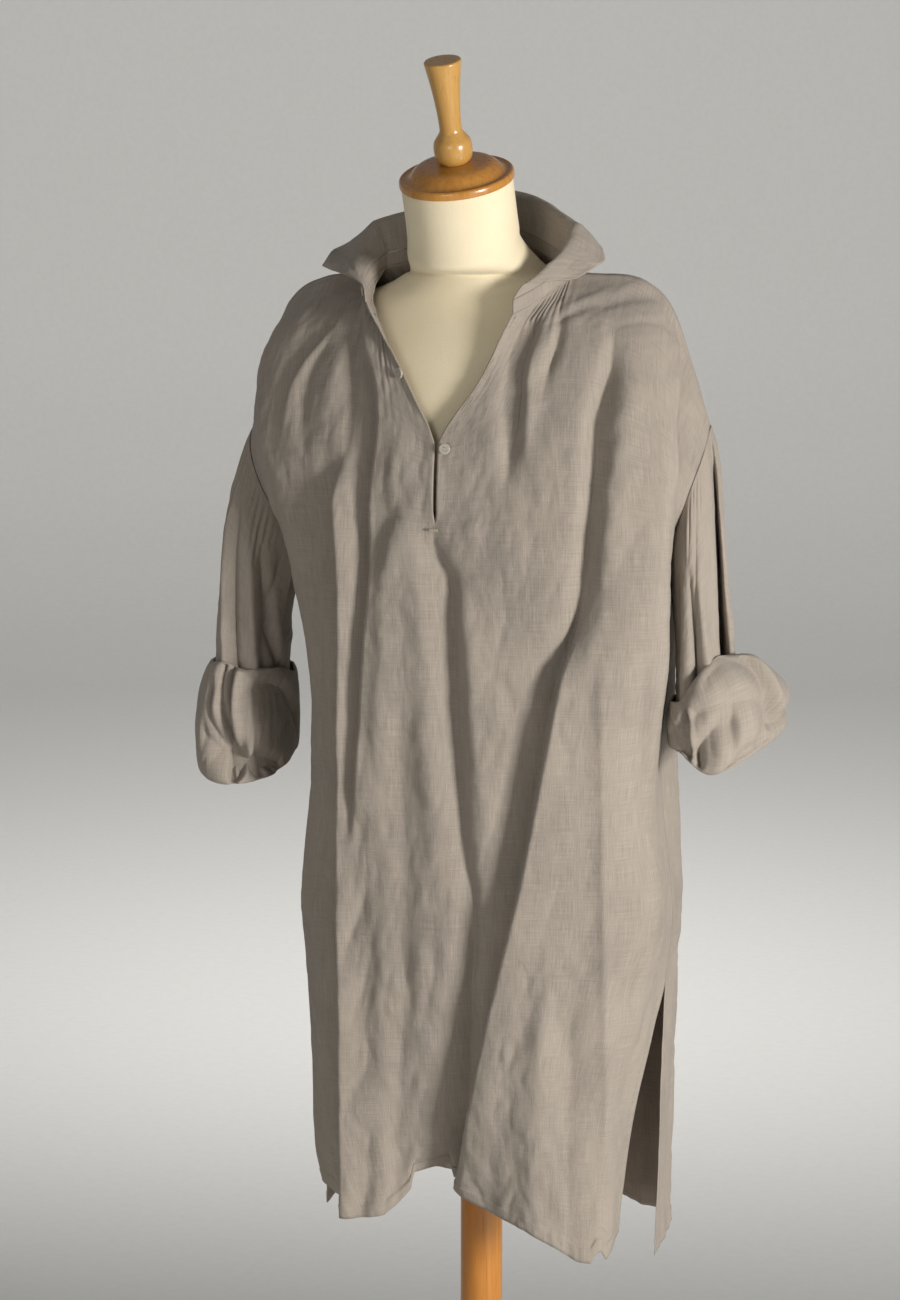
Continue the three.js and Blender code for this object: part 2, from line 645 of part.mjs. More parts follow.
// What lies on the front panel
const PLACKET_WALL = 1.2;
const outNormal = (side, s, row) => {
  const e = 0.01;
  const a = clothPoint("front", side, s + e, row).sub(clothPoint("front", side, Math.max(0, s - e), row));
  const above = clothPoint("front", side, s, Math.max(0, row - 0.03));
  const b = clothPoint("front", side, s, row + 0.03).sub(above);
  const n = a.cross(b).normalize();
  return n.y > 0 ? n.negate() : n;
};
// Each placket is the panel's own first column beside the slit, moved out.
const slitRows = FRONT_ROWS.filter((row) => row < SPLIT_ROW - 0.1).length;
for (const side of ["left", "right"]) {
  const numbers = FRONT.ids[side].slice(0, slitRows).flatMap((r) => [r[0], r[1]]);
  wall(
    "placket_" + side,
    numbers.map((k) => FRONT.points[k]),
    gridQuads(slitRows - 1, 1, (j, i) => j * 2 + i, side === "left"),
    PLACKET_WALL,
    numbers.map((k) => FRONT.normals[k]),
    WALL / 2 + LAY,
  );
}

const BUTTON = { radius: 5.6, thickness: 2.2, hole: 0.6, pitch: 1.6 };
function button(name, at, normal) {
  const circle = (r, n, x = 0, y = 0) =>
    Array.from({ length: n }, (_, k) => {
      const a = (2 * Math.PI * k) / n;
      return new THREE.Vector2(x + r * Math.cos(a), y + r * Math.sin(a));
    });
  const disc = new THREE.Shape(circle(BUTTON.radius - 0.4, 20));
  for (const [i, j] of [[1, 1], [1, -1], [-1, 1], [-1, -1]])
    disc.holes.push(new THREE.Path(circle(BUTTON.hole + 0.4, 6, i * BUTTON.pitch, j * BUTTON.pitch)));
  const g = new THREE.ExtrudeGeometry(disc, {
    depth: BUTTON.thickness - 0.8,
    bevelSize: 0.4,
    bevelThickness: 0.4,
    bevelSegments: 1,
  });
  g.translate(0, 0, 0.4);
  const mesh = new THREE.Mesh(g, new THREE.MeshStandardMaterial(SHELL));
  mesh.name = name;
  mesh.quaternion.setFromUnitVectors(V(0, 0, 1), normal);
  mesh.position.copy(at);
  part.add(mesh);
}
const ON_PLACKET = WALL / 2 + LAY + PLACKET_WALL + LAY;
// The fastened button stands on the left edge, just beside the slit;
// the others on the right edge and the band.
for (const { name, side, s, row } of [
  { name: "button_front", side: "left", s: 0.03, row: 2.1 },
  { name: "button_neck", side: "right", s: 0.026, row: 1.05 },
])
  button(
    name,
    clothPoint("front", side, s, row).addScaledVector(outNormal(side, s, row), ON_PLACKET + 0.2),
    outNormal(side, s, row),
  );
{
  const [at, up] = [0.034, 7.2];
  const along = neckProfile(at + 0.01, up).sub(neckProfile(at - 0.01, up));
  const rise = neckProfile(at, up + 1).sub(neckProfile(at, up - 1));
  const out = along.cross(rise).normalize();
  if (out.dot(neckProfile(at, up).sub(V(0, NECK_CENTRE.y, 1500))) < 0) out.negate();
  button("button_band", neckProfile(at, up).addScaledVector(out, BAND_WALL / 2 + LAY), out);
}
{
  const at = clothPoint("front", "left", 0, SPLIT_ROW + 0.04);
  const tack = new THREE.Mesh(new THREE.BoxGeometry(9, 1.4, 2.4), new THREE.MeshStandardMaterial(LINEN));
  tack.name = "slit_tack";
  tack.position.set(at.x, at.y - WALL / 2 - LAY - 1, at.z - 3);
  part.add(tack);
}

// Sleeves and rolled cuffs
// The hanging tube: centre, half sizes in plan. roll: how the rolled end stands off it.
const SLEEVES = {
  left: { x: 238, y: 14, halfX: 25, halfY: 64, foot: 1122, bow: 0.6 },
  right: { x: -256, y: -14, halfX: 30, halfY: 64, foot: 1118, bow: 1.15 },
};
const SLEEVE_FOLDS = {
  left: [
    { turn: -0.24, depth: -12, width: 0.16, start: 0.1 },
    { turn: -0.06, depth: 6, width: 0.2, start: 0.05 },
    { turn: -0.46, depth: 6, width: 0.2, start: 0.2 },
    { turn: 0.3, depth: -8, width: 0.2, start: 0.1 },
    { turn: 0.62, depth: -6, width: 0.2, start: 0.1 },
  ],
  right: [
    { turn: -0.2, depth: -7, width: 0.14, start: 0.02 },
    { turn: -0.36, depth: 6, width: 0.16, start: 0.1 },
    { turn: -0.56, depth: -6, width: 0.14, start: 0.05 },
    { turn: 0.3, depth: -8, width: 0.2, start: 0.1 },
    { turn: 0.6, depth: 6, width: 0.2, start: 0.1 },
  ],
};
const GATHERS = { count: 16, depth: 1.8 };
const SLEEVE_SIDES = 32;

// A plan oval round the sleeve's centre;
// turn runs 0 at the outer side, negative to the front, to 1 at the inner side.
function sleeveOval(side, turn, grow = 0, shift = 0) {
  const o = SLEEVES[side];
  const dir = side === "left" ? 1 : -1;
  const a = Math.PI * turn;
  const [ux, uy] = superOval(a, o.halfX + grow, o.halfY + grow, 2.4);
  return [o.x + dir * (ux + shift), o.y + uy];
}
function armhole(side, turn) {
  const row = UNDERARM_ROW * Math.abs(turn);
  return clothPoint(turn < 0 ? "front" : "back", side, 1, row);
}
function sleevePoint(side, turn, t) {
  const dir = side === "left" ? 1 : -1;
  const head = armhole(side, turn);
  head.x += dir * (WALL + 0.75);
  const wobble = SLEEVE_FOLDS[side].reduce((sum, f) => {
    let gap = Math.abs(turn - f.turn);
    gap = Math.min(gap, 2 - gap);
    const fade = ease((t - f.start) / 0.3) * ease((1.02 - t) / 0.3);
    return sum + f.depth * Math.exp(-((gap / f.width) ** 2)) * fade;
  }, 0);
  const held = ease(t / 0.12) * ease((0.42 - t) / 0.3) * ease((0.75 - Math.abs(turn)) / 0.2);
  const ripple = GATHERS.depth * Math.cos(GATHERS.count * Math.PI * turn) * held;
  const [x, y] = sleeveOval(side, turn, wobble + ripple);
  const end = V(x, y, SLEEVES[side].foot);
  const knee = V(mix(head.x, x, SLEEVES[side].bow), mix(head.y, y, 0.8), head.z - 88);
  return head.multiplyScalar((1 - t) ** 2).addScaledVector(knee, 2 * t * (1 - t)).addScaledVector(end, t * t);
}
for (const side of ["left", "right"]) {
  const rows = [0, 0.06, 0.13, 0.21, 0.3, 0.42, 0.55, 0.7, 0.85, 1];
  const points = rows.flatMap((t) =>
    Array.from({ length: SLEEVE_SIDES }, (_, i) => {
      const turn = -((2 * i) / SLEEVE_SIDES) + (i > SLEEVE_SIDES / 2 ? 2 : 0);
      return sleevePoint(side, turn, t);
    }),
  );
  const at = (j, i) => j * SLEEVE_SIDES + (i % SLEEVE_SIDES);
  const quads = gridQuads(rows.length - 1, SLEEVE_SIDES, at, side === "right");
  wall("sleeve_" + side, points, quads, WALL);
}

// One row per ring of the roll, from inside its top, round its foot, to its outer top edge.
const ROLL = [
  { ring: 0, grow: 0, height: 1 },
  { ring: 1, grow: -2, height: 0.7 },
  { ring: 2, grow: -3, height: 0.3 },
  { ring: 3, grow: 1, height: 0.08 },
  { ring: 4, grow: 8, height: 0 },
  { ring: 5, grow: 15, height: 0.08 },
  { ring: 6, grow: 20, height: 0.3 },
  { ring: 7, grow: 21, height: 0.58 },
  { ring: 8, grow: 17, height: 0.86 },
  { ring: 9, grow: 11, height: 1.06 },
  { ring: 10, grow: 7, height: 1.1 },
];
const ROLL_SIDES = 28;
const ROLL_SHAPE = {
  left: { tall: 90, in: 0.2, out: 1.5, shift: 26, dip: 12 },
  right: { tall: 122, in: 0.5, out: 1, shift: 2, dip: -6 },
};
for (const side of ["left", "right"]) {
  const shape = ROLL_SHAPE[side];
  const top = SLEEVES[side].foot - SEAM;
  const points = ROLL.flatMap(({ ring, grow, height }) =>
    Array.from({ length: ROLL_SIDES }, (_, i) => {
      const turn = -((2 * i) / ROLL_SIDES) + (i > ROLL_SIDES / 2 ? 2 : 0);
      const outer = ease((ring - 2) / 4);
      const free = ring > 4 ? 6.4 : 0; // the outer leg never lies closer to the sleeve than this
      const swell = mix(shape.in, shape.out, 0.5 + 0.5 * Math.cos(Math.PI * turn));
      const shift = shape.shift * outer * (0.5 + 0.5 * Math.cos(Math.PI * turn));
      const [x, y] = sleeveOval(side, turn, free + (grow - free) * swell, shift);
      const slope = shape.dip * Math.cos(Math.PI * turn) * outer;
      return V(x, y, top - shape.tall * (1 - height) + slope);
    }),
  );
  const at = (j, i) => j * ROLL_SIDES + (i % ROLL_SIDES);
  const quads = gridQuads(ROLL.length - 1, ROLL_SIDES, at, side === "right");
  wall("cuff_roll_" + side, points, quads, 2.4);
}

export default part;
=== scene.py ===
# %% [markdown]
# # A linen shirt on its dress form
# This lesson dresses a imported model of a long pull-over shirt that hangs on a limbless dress form.
# The model comes in as a fixed frame, and every piece that we make here stands for one of its nodes
# or is sewn onto one.
# Cloth is made as thin shells on a few smooth sections, and each fold is placed on top,
# because a worn shirt is known by where its folds start and end. Lengths are millimetres, as on a
# maker's pattern, and MM turns them into Blender's metres when a mesh is made.

# %% The frame
import json
import math

import bpy
import numpy as np
from mathutils import Matrix, Vector

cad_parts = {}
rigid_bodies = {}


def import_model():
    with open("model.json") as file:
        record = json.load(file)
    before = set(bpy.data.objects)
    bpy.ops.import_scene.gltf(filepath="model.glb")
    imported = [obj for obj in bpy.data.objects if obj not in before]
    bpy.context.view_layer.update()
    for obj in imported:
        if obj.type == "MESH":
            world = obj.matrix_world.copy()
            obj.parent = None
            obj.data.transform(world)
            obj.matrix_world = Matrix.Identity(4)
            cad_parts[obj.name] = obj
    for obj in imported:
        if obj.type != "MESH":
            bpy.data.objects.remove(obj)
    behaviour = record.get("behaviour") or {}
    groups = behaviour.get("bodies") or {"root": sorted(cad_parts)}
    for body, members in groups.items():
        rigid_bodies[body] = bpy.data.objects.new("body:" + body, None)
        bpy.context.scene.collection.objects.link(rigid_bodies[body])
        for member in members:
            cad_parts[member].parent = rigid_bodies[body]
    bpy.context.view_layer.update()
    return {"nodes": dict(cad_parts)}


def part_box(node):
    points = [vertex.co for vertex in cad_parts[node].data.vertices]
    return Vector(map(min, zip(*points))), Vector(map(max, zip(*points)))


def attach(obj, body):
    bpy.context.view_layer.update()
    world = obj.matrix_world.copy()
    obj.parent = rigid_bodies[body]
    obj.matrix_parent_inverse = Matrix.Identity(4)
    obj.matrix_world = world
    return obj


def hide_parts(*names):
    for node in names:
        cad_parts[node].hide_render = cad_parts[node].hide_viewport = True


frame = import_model()
MM = 0.001

# %% [markdown]
# ## Curves through a few numbers
# A pattern cutter draws a smooth line through a few measured points. The same is done here with a
# Hermite spline, which passes through every point and takes its slope from the two neighbours.
# It works on whole arrays, so that one call gives thousands of points of cloth.

# %% Smooth curves
TINY = 1e-9


def ease(x):
    """A soft step from 0 to 1."""
    t = np.clip(x, 0, 1)
    return t * t * (3 - 2 * t)


def mix(first, second, share):
    return first + (second - first) * share


def hermite(knots, values, at):
    """The curve through values at knots, read at one place or at an array of places."""
    knots = np.asarray(knots, float)
    at = np.clip(np.asarray(at, float), knots[0], knots[-1])
    values = np.asarray(values, float)
    if values.ndim == 2:
        values = values.reshape(len(knots), *([1] * at.ndim), values.shape[1])
    values = np.broadcast_to(values, (len(knots), *at.shape, values.shape[-1]))
    order = np.arange(len(knots))
    before, after = np.maximum(order - 1, 0), np.minimum(order + 1, order[-1])
    reach = (knots[after] - knots[before]).reshape(-1, *([1] * (values.ndim - 1)))
    slopes = (values[after] - values[before]) / reach
    low = np.clip(np.searchsorted(knots, at) - 1, 0, order[-1] - 1)

    def pick(rows, which):
        return np.take_along_axis(rows, which[None, ..., None], 0)[0]

    width = (knots[low + 1] - knots[low])[..., None]
    t = (at - knots[low])[..., None] / width
    ends = pick(values, low) * (2 * t**3 - 3 * t**2 + 1) + pick(values, low + 1) * (3 * t**2 - 2 * t**3)
    turns = pick(slopes, low) * (t**3 - 2 * t**2 + t) + pick(slopes, low + 1) * (t**3 - t**2)
    return ends + turns * width


def reader(table, key):
    """Reads a table with named columns at any value of one of them."""
    table = sorted(table, key=lambda row: row[key])
    names = [name for name in table[0] if name != key]
    knots = [row[key] for row in table]
    rows = np.array([[row[name] for name in names] for row in table], float)
    return lambda at: dict(zip(names, np.moveaxis(hermite(knots, rows, at), -1, 0)))


# %% [markdown]
# ## Crumples
# Washed linen is never quite smooth. Random hills of one size, smoothed between the points of a
# small grid with a fixed seed, give its soft unevenness, and their folded-over form, where the hills
# meet in sharp lines, gives the creases that a hand leaves.

# %% Random hills and creases
HILL_GRID = 61


def hills(u, v, size, seed):
    """Smooth random heights from -1 to 1, about one size apart."""
    grid = np.random.default_rng(seed).uniform(-1, 1, (HILL_GRID, HILL_GRID))
    turn = 0.6 + seed
    x = (np.cos(turn) * u - np.sin(turn) * v) / size
    y = (np.sin(turn) * u + np.cos(turn) * v) / size
    column, row = np.floor(x).astype(int), np.floor(y).astype(int)
    right, up = ease(x - column), ease(y - row)
    column, next_column = column % HILL_GRID, (column + 1) % HILL_GRID
    row, next_row = row % HILL_GRID, (row + 1) % HILL_GRID
    low = mix(grid[column, row], grid[next_column, row], right)
    high = mix(grid[column, next_row], grid[next_column, next_row], right)
    return mix(low, high, up)


def creases(u, v, size, seed):
    """Sharp valleys between round hills, from 0 on the hills to -1 in the valleys."""
    bent = u + 0.35 * size * hills(u, v, size * 1.7, seed + 5)
    return np.sqrt(hills(bent, v, size, seed) ** 2 + 0.002) * 2 - 1


# %% [markdown]
# ## Making a mesh of cloth
# Cloth needs two faces and a rim, or light leaks through it and a maker can't use it. The shell takes
# one sheet of points and faces, finds the direction that each point faces, and puts one layer on each
# side of it. Edges that belong to one face only get the rim. The sheet's own map, in metres of cloth,
# goes along, so that the weave can follow the threads.

# %% A thin closed shell


def facing(points, quads):
    """The direction that each point of a sheet faces."""
    across = points[quads[:, 2]] - points[quads[:, 0]]
    along = points[quads[:, 3]] - points[quads[:, 1]]
    face = np.cross(across, along)
    total = np.zeros_like(points)
    for k in range(4):
        np.add.at(total, quads[:, k], face)
    return total / np.maximum(np.linalg.norm(total, axis=1), TINY)[:, None]


def grid_quads(ids):
    """The faces of a grid of point numbers."""
    corners = (ids[:-1, :-1], ids[:-1, 1:], ids[1:, 1:], ids[1:, :-1])
    return np.stack([corner.ravel() for corner in corners], axis=1)


def ring_quads(ids):
    """The faces of a grid whose last column meets its first."""
    return grid_quads(np.concatenate([ids, ids[:, :1]], axis=1))


def new_object(name, points, faces, uv=None):
    """A mesh object from points in millimetres."""
    mesh = bpy.data.meshes.new(name)
    mesh.from_pydata((np.asarray(points) * MM).tolist(), [], [list(map(int, face)) for face in faces])
    if uv is not None:
        corner = np.zeros(len(mesh.loops), int)
        mesh.loops.foreach_get("vertex_index", corner)
        layer = mesh.uv_layers.new(name="cloth")
        layer.data.foreach_set("uv", (uv[corner] * MM).ravel())
    mesh.shade_smooth()
    obj = bpy.data.objects.new(name, mesh)
    bpy.context.scene.collection.objects.link(obj)
    return obj


def shell(name, points, quads, thickness, uv):
    """A closed sheet of one thickness, with its middle on the points."""
    count = len(points)
    half = facing(points, quads) * thickness / 2
    edges = np.concatenate([quads[:, [k, (k + 1) % 4]] for k in range(4)])
    free = ~np.isin(edges[:, 1] * count + edges[:, 0], edges[:, 0] * count + edges[:, 1])
    start, end = edges[free].T
    rim = np.stack([end, start, start + count, end + count], axis=1)
    faces = np.concatenate([quads, quads[:, ::-1] + count, rim])
    return new_object(name, np.concatenate([points + half, points - half]), faces, np.tile(uv, (2, 1)))


def cloth_map(points, scale_across, scale_along):
    """A flat map of a grid of points, from the mean lengths of its threads."""
    across = np.linalg.norm(np.diff(points, axis=1), axis=2).mean(0)
    along = np.linalg.norm(np.diff(points, axis=0), axis=2).mean(1)
    u = np.concatenate([[0], np.cumsum(across)]) * scale_across
    v = np.concatenate([[0], np.cumsum(along)]) * scale_along
    return np.stack(np.broadcast_arrays(u[None, :], v[:, None]), axis=2)


# %% [markdown]
# ## Writing a finish as sums
# A material is a tree of nodes, and most of its nodes are sums. The Wire class stands for the value
# that comes out of a socket, and Python's own signs add the Math nodes, so 1 - mask reads as it
# would on paper. Every other node comes from one method that sets the node up and feeds its sockets.

# %% Shader sums


class Wire:
    """The output of a node, which can be added, multiplied and so on."""

    def __init__(self, tree, socket):
        self.tree = tree
        self.socket = socket

    def sum(self, operation, first, second):
        node = self.tree.nodes.new("ShaderNodeMath")
        node.operation = operation
        feed(self.tree, node.inputs[0], first)
        feed(self.tree, node.inputs[1], second)
        return Wire(self.tree, node.outputs[0])

    def __add__(self, other):
        return self.sum("ADD", self, other)

    def __radd__(self, other):
        return self.sum("ADD", other, self)

    def __sub__(self, other):
        return self.sum("SUBTRACT", self, other)

    def __rsub__(self, other):
        return self.sum("SUBTRACT", other, self)

    def __mul__(self, other):
        return self.sum("MULTIPLY", self, other)

    def __rmul__(self, other):
        return self.sum("MULTIPLY", other, self)


def feed(tree, socket, value):
    """Links a wire to a socket, or sets the socket to a plain value."""
    if isinstance(value, Wire):
        tree.links.new(value.socket, socket)
    else:
        socket.default_value = value


class Finish:
    """One material and the tree that makes it."""

    def __init__(self, name):
        self.material = bpy.data.materials.new(name)
        self.material.use_nodes = True
        self.tree = self.material.node_tree
        self.shader = self.tree.nodes["Principled BSDF"]

    def node(self, kind, settings=None, output=0, **sockets):
        made = self.tree.nodes.new(kind)
        for key, value in (settings or {}).items():
            setattr(made, key, value)
        for key, value in sockets.items():
            place = int(key[1:]) if key[0] == "i" and key[1:].isdigit() else key.replace("_", " ")
            feed(self.tree, made.inputs[place], value)
        return Wire(self.tree, made.outputs[output])

    def place(self):
        """The piece's own coordinates, in metres."""
        return self.node("ShaderNodeTexCoord", output="Object")

    def stretched(self, where, scale, turn=(0, 0, 0)):
        return self.node("ShaderNodeMapping", Vector=where, Scale=scale, Rotation=turn)

    def noise(self, where, scale, detail=2.0, rough=0.5):
        return self.node("ShaderNodeTexNoise", Vector=where, Scale=scale, Detail=detail, Roughness=rough)

    def blend(self, amount, first, second):
        """A mix of two colours."""
        return self.node("ShaderNodeMix", {"data_type": "RGBA"}, output=2, i0=amount, i6=first, i7=second)

    def relief(self, height, distance, strength, below=None):
        """A bump, on top of another one where that is given."""
        more = {} if below is None else {"Normal": below}
        return self.node("ShaderNodeBump", Height=height, Distance=distance, Strength=strength, **more)

    def set(self, **values):
        """Feeds sockets of the shader by name."""
        for key, value in values.items():
            feed(self.tree, self.shader.inputs[key.replace("_", " ")], value)
        return self.material


def srgb(r, g, b):
    """A colour as a picture shows it, turned into the linear colour that a shader wants."""
    return (*[((c / 255 + 0.055) / 1.055) ** 2.4 for c in (r, g, b)], 1.0)


# %% [markdown]
# ## Linen
# The cloth is a plain weave of unbleached flax, grey-brown, with thick slubs in both directions. It
# could be painted, but flax is known by its threads, so the weave is made from the cloth's own map:
# fine threads every 0.8 mm for close views, long thin slubs across and along, soft patches where the
# tone of the flax differs, and small crumples in the relief. It is matt with a faint fuzz of sheen.

# %% The linen finish
LINEN_LIGHT = srgb(170, 160, 148)
LINEN_DARK = srgb(140, 130, 119)
LINEN_WARM = srgb(154, 140, 124)
THREAD_PITCH = 0.8 * MM
CRUMPLE_RELIEF = 3.0 * MM
THREAD_RELIEF = 0.45 * MM


def linen(name):
    cloth = Finish(name)
    uv = cloth.node("ShaderNodeUVMap", {"uv_map": "cloth"})
    slub_along = cloth.noise(cloth.stretched(uv, (1250, 34, 1)), 1.0, 2.0)
    slub_across = cloth.noise(cloth.stretched(uv, (30, 1250, 1)), 1.0, 2.0)
    across = cloth.node("ShaderNodeSeparateXYZ", Vector=uv)
    along = cloth.node("ShaderNodeSeparateXYZ", output="Y", Vector=uv)
    turn = 2 * math.pi / THREAD_PITCH
    warp = cloth.node("ShaderNodeMath", {"operation": "SINE"}, i0=across * turn)
    weft = cloth.node("ShaderNodeMath", {"operation": "SINE"}, i0=along * turn)
    patches = cloth.noise(uv, 11.0, 3.0)
    crumple = cloth.noise(cloth.stretched(uv, (60, 42, 1)), 1.0, 4.0, 0.55)
    slubs = slub_along * 0.55 + slub_across * 0.45
    shade = (slubs - 0.5) * 2.4 + (patches - 0.5) * 0.9 + 0.5 + warp * weft * 0.06
    tone = cloth.blend(cloth.node("ShaderNodeClamp", Value=shade), LINEN_DARK, LINEN_LIGHT)
    warm = cloth.node("ShaderNodeClamp", Value=(patches - 0.45) * 0.9)
    tone = cloth.blend(warm, tone, LINEN_WARM)
    threads = slubs * 0.8 + warp * weft * 0.12
    rough = cloth.relief(crumple, CRUMPLE_RELIEF, 0.5)
    rough = cloth.relief(threads, THREAD_RELIEF, 0.8, below=rough)
    cloth.set(Base_Color=tone, Roughness=0.93, Normal=rough)
    return cloth.set(Sheen_Weight=0.12, Sheen_Roughness=0.5, Specular_IOR_Level=0.25)


LINEN = linen("linen")
print("linen finish:", len(LINEN.node_tree.nodes), "nodes")

# %% [markdown]
# ## The other finishes
# The turned wood is varnished beech: long fine grain along the axis, a few darker streaks, and a
# clear coat that gives the sharp light. The form's cover is a cream knit, almost flat. The buttons
# are pale and satin with faint clouds, and the sewing thread is a little lighter than the cloth.

# %% Wood, knit, button and thread
NECK_LEAN = math.radians(19)
WOOD_ROUGHNESS = 0.3


def wood(name, light, dark, tilt=0.0):
    """Varnished wood; the tilt turns its grain to the axis of a leaning piece."""
    beech = Finish(name)
    where = beech.stretched(beech.place(), (1, 1, 1), (tilt, 0, 0))
    grain = beech.noise(beech.stretched(where, (210, 210, 9)), 1.0, 4.0, 0.6)
    rings = beech.noise(beech.stretched(where, (26, 26, 2.2)), 1.0, 2.0)
    streaks = beech.noise(beech.stretched(where, (900, 900, 30)), 1.0, 1.0)
    shade = (grain - 0.5) * 1.2 + (rings - 0.5) * 1.1 + (streaks - 0.5) * 0.5 + 0.5
    tone = beech.blend(beech.node("ShaderNodeClamp", Value=shade), dark, light)
    pores = beech.relief(grain, 0.15 * MM, 0.3)
    beech.set(Base_Color=tone, Roughness=(grain - 0.5) * 0.2 + WOOD_ROUGHNESS, Normal=pores)
    return beech.set(Coat_Weight=0.35, Coat_Roughness=0.12)


CAP_WOOD = wood("cap_wood", srgb(200, 142, 66), srgb(164, 106, 38), -NECK_LEAN)
FINIAL_WOOD = wood("finial_wood", srgb(206, 162, 90), srgb(180, 131, 62), -NECK_LEAN)
POLE_WOOD = wood("pole_wood", srgb(208, 141, 56), srgb(172, 103, 30))
BASE_WOOD = wood("base_wood", srgb(206, 140, 62), srgb(150, 88, 28), math.radians(90))


def knit(name):
    jersey = Finish(name)
    where = jersey.place()
    loops = jersey.node("ShaderNodeTexVoronoi", Vector=jersey.stretched(where, (900, 900, 620)), Scale=1.0)
    wear = jersey.noise(where, 14.0, 3.0)
    tone = jersey.blend(wear, srgb(226, 209, 172), srgb(241, 229, 199))
    tone = jersey.blend(loops * 0.2, tone, srgb(210, 192, 154))
    jersey.set(Base_Color=tone, Roughness=0.9, Normal=jersey.relief(loops, 0.25 * MM, 0.5))
    return jersey.set(Sheen_Weight=0.15)


def satin(name, light, dark, size, rough):
    smooth = Finish(name)
    clouds = smooth.noise(smooth.place(), size, 3.0)
    smooth.set(Base_Color=smooth.blend(clouds, dark, light), Roughness=clouds * 0.2 + rough)
    return smooth.set(Normal=smooth.relief(clouds, 0.1 * MM, 0.2))


FORM_COVER = knit("form_cover")
BUTTON = satin("button", srgb(196, 188, 172), srgb(150, 142, 128), 240.0, 0.3)
THREAD = satin("thread", srgb(186, 175, 157), srgb(152, 139, 120), 900.0, 0.8)
print("finishes:", [material.name for material in bpy.data.materials])

# %% [markdown]
# ## Camera, floor and light
# The picture is taken a little to the wearer's left of the front, from eye height and slightly down.
# A small square lamp stands low at the viewer's right, so that the folds are drawn by their shadows
# and the shoulders stay in half shade. A weak wide lamp in front and a dim pale surrounding fill in,
# and a third lamp lights the wall behind.

# %% The view
VIEW = math.radians(21)
CAMERA_DISTANCE = 3.2
CAMERA_HEIGHT = 1.7
CAMERA_SIDESTEP = -0.034
CAMERA_DOWN = math.radians(10)
FOCAL_PIXELS = 3117
PICTURE_HEIGHT = 1300
SENSOR = 36
lens = bpy.data.cameras.new("camera")
lens.sensor_width = SENSOR
lens.lens = FOCAL_PIXELS / PICTURE_HEIGHT * SENSOR
camera = bpy.data.objects.new("camera", lens)
right = Vector((math.cos(VIEW), math.sin(VIEW), 0))
back = Vector((math.sin(VIEW), -math.cos(VIEW), 0))
camera.location = back * CAMERA_DISTANCE + right * CAMERA_SIDESTEP + Vector((0, 0, CAMERA_HEIGHT))
camera.rotation_euler = (math.radians(90) - CAMERA_DOWN, 0, VIEW)
bpy.context.scene.collection.objects.link(camera)
bpy.context.scene.camera = camera


def lamp(name, azimuth, height, distance, size, power, colour, aim):
    """A soft square lamp; its azimuth turns from the front to the wearer's left."""
    data = bpy.data.lights.new(name, "AREA")
    data.shape = "SQUARE"
    data.size = size
    data.energy = power
    data.color = colour
    obj = bpy.data.objects.new(name, data)
    turn = math.radians(azimuth)
    obj.location = (math.sin(turn) * distance, -math.cos(turn) * distance, height)
    obj.rotation_euler = (Vector(aim) - obj.location).to_track_quat("-Z", "Y").to_euler()
    bpy.context.scene.collection.objects.link(obj)


KEY_WHITE = (1.0, 0.985, 0.965)
FILL_WHITE = (1.0, 0.99, 0.98)
SHIRT_MIDDLE = (0, 0, 1.15)
lamp(
    "key_light", azimuth=66, height=1.35, distance=3.2, size=0.7, power=106, colour=KEY_WHITE,
    aim=(0, 0, 1.0),
)
lamp(
    "front_fill", azimuth=0, height=1.3, distance=4.4, size=1.6, power=28, colour=FILL_WHITE,
    aim=SHIRT_MIDDLE,
)
lamp(
    "backdrop_light", azimuth=201, height=2.6, distance=1.6, size=1.6, power=105, colour=FILL_WHITE,
    aim=(-2.6, 7.2, 1.0),
)
SURROUNDING = (0.92, 0.93, 0.94, 1)
SURROUNDING_STRENGTH = 0.22
bpy.context.scene.view_settings.view_transform = "Standard"
world = bpy.data.worlds.new("studio")
world.use_nodes = True
background = world.node_tree.nodes["Background"]
background.inputs["Color"].default_value = SURROUNDING
background.inputs["Strength"].default_value = SURROUNDING_STRENGTH
bpy.context.scene.world = world

# The floor runs up into a round wall, open above, so that no line shows behind the shirt.
COVE = [[5900, 0], [6500, 60], [7000, 260], [7360, 620], [7500, 1100], [7500, 4000]]
COVE_SIDES = 96
FLOOR_DROP = 0.5
ring = np.linspace(0, 2 * math.pi, COVE_SIDES, endpoint=False)
cove = np.array([[[r * math.cos(a), r * math.sin(a), z - FLOOR_DROP] for a in ring] for r, z in COVE])
walls = ring_quads(np.arange(len(COVE) * COVE_SIDES).reshape(-1, COVE_SIDES))[:, ::-1].tolist()
floor = new_object("floor", cove.reshape(-1, 3), [list(range(COVE_SIDES)), *walls])
paper = Finish("floor_paper")
speckle = paper.noise(paper.place(), 60.0, 2.0)
pale = paper.blend(speckle, srgb(214, 213, 209), srgb(222, 221, 218))
floor.data.materials.append(paper.set(Base_Color=pale, Roughness=0.9))
print("camera at", [round(place, 3) for place in camera.location], "lens", round(lens.lens, 2))

# %% [markdown]
# ## The shirt's form
# The shirt is cut from plain lengths: a front, a back, two sleeves, a neckband and a collar. Worn, it
# falls from the shoulders in a wide tube. Each table row is one section through a panel, from the
# middle of the body over the chest and the corner, where the cloth turns back, to the outer edge,
# which is the armhole and below it the side seam. These are the same measurements as in the model.

# %% The sections of the body
POINTS = ("middle", "chest", "corner", "edge")


def named(rows):
    """Gives the four points of each row their names."""
    return [dict(zip(POINTS, row)) for row in rows]


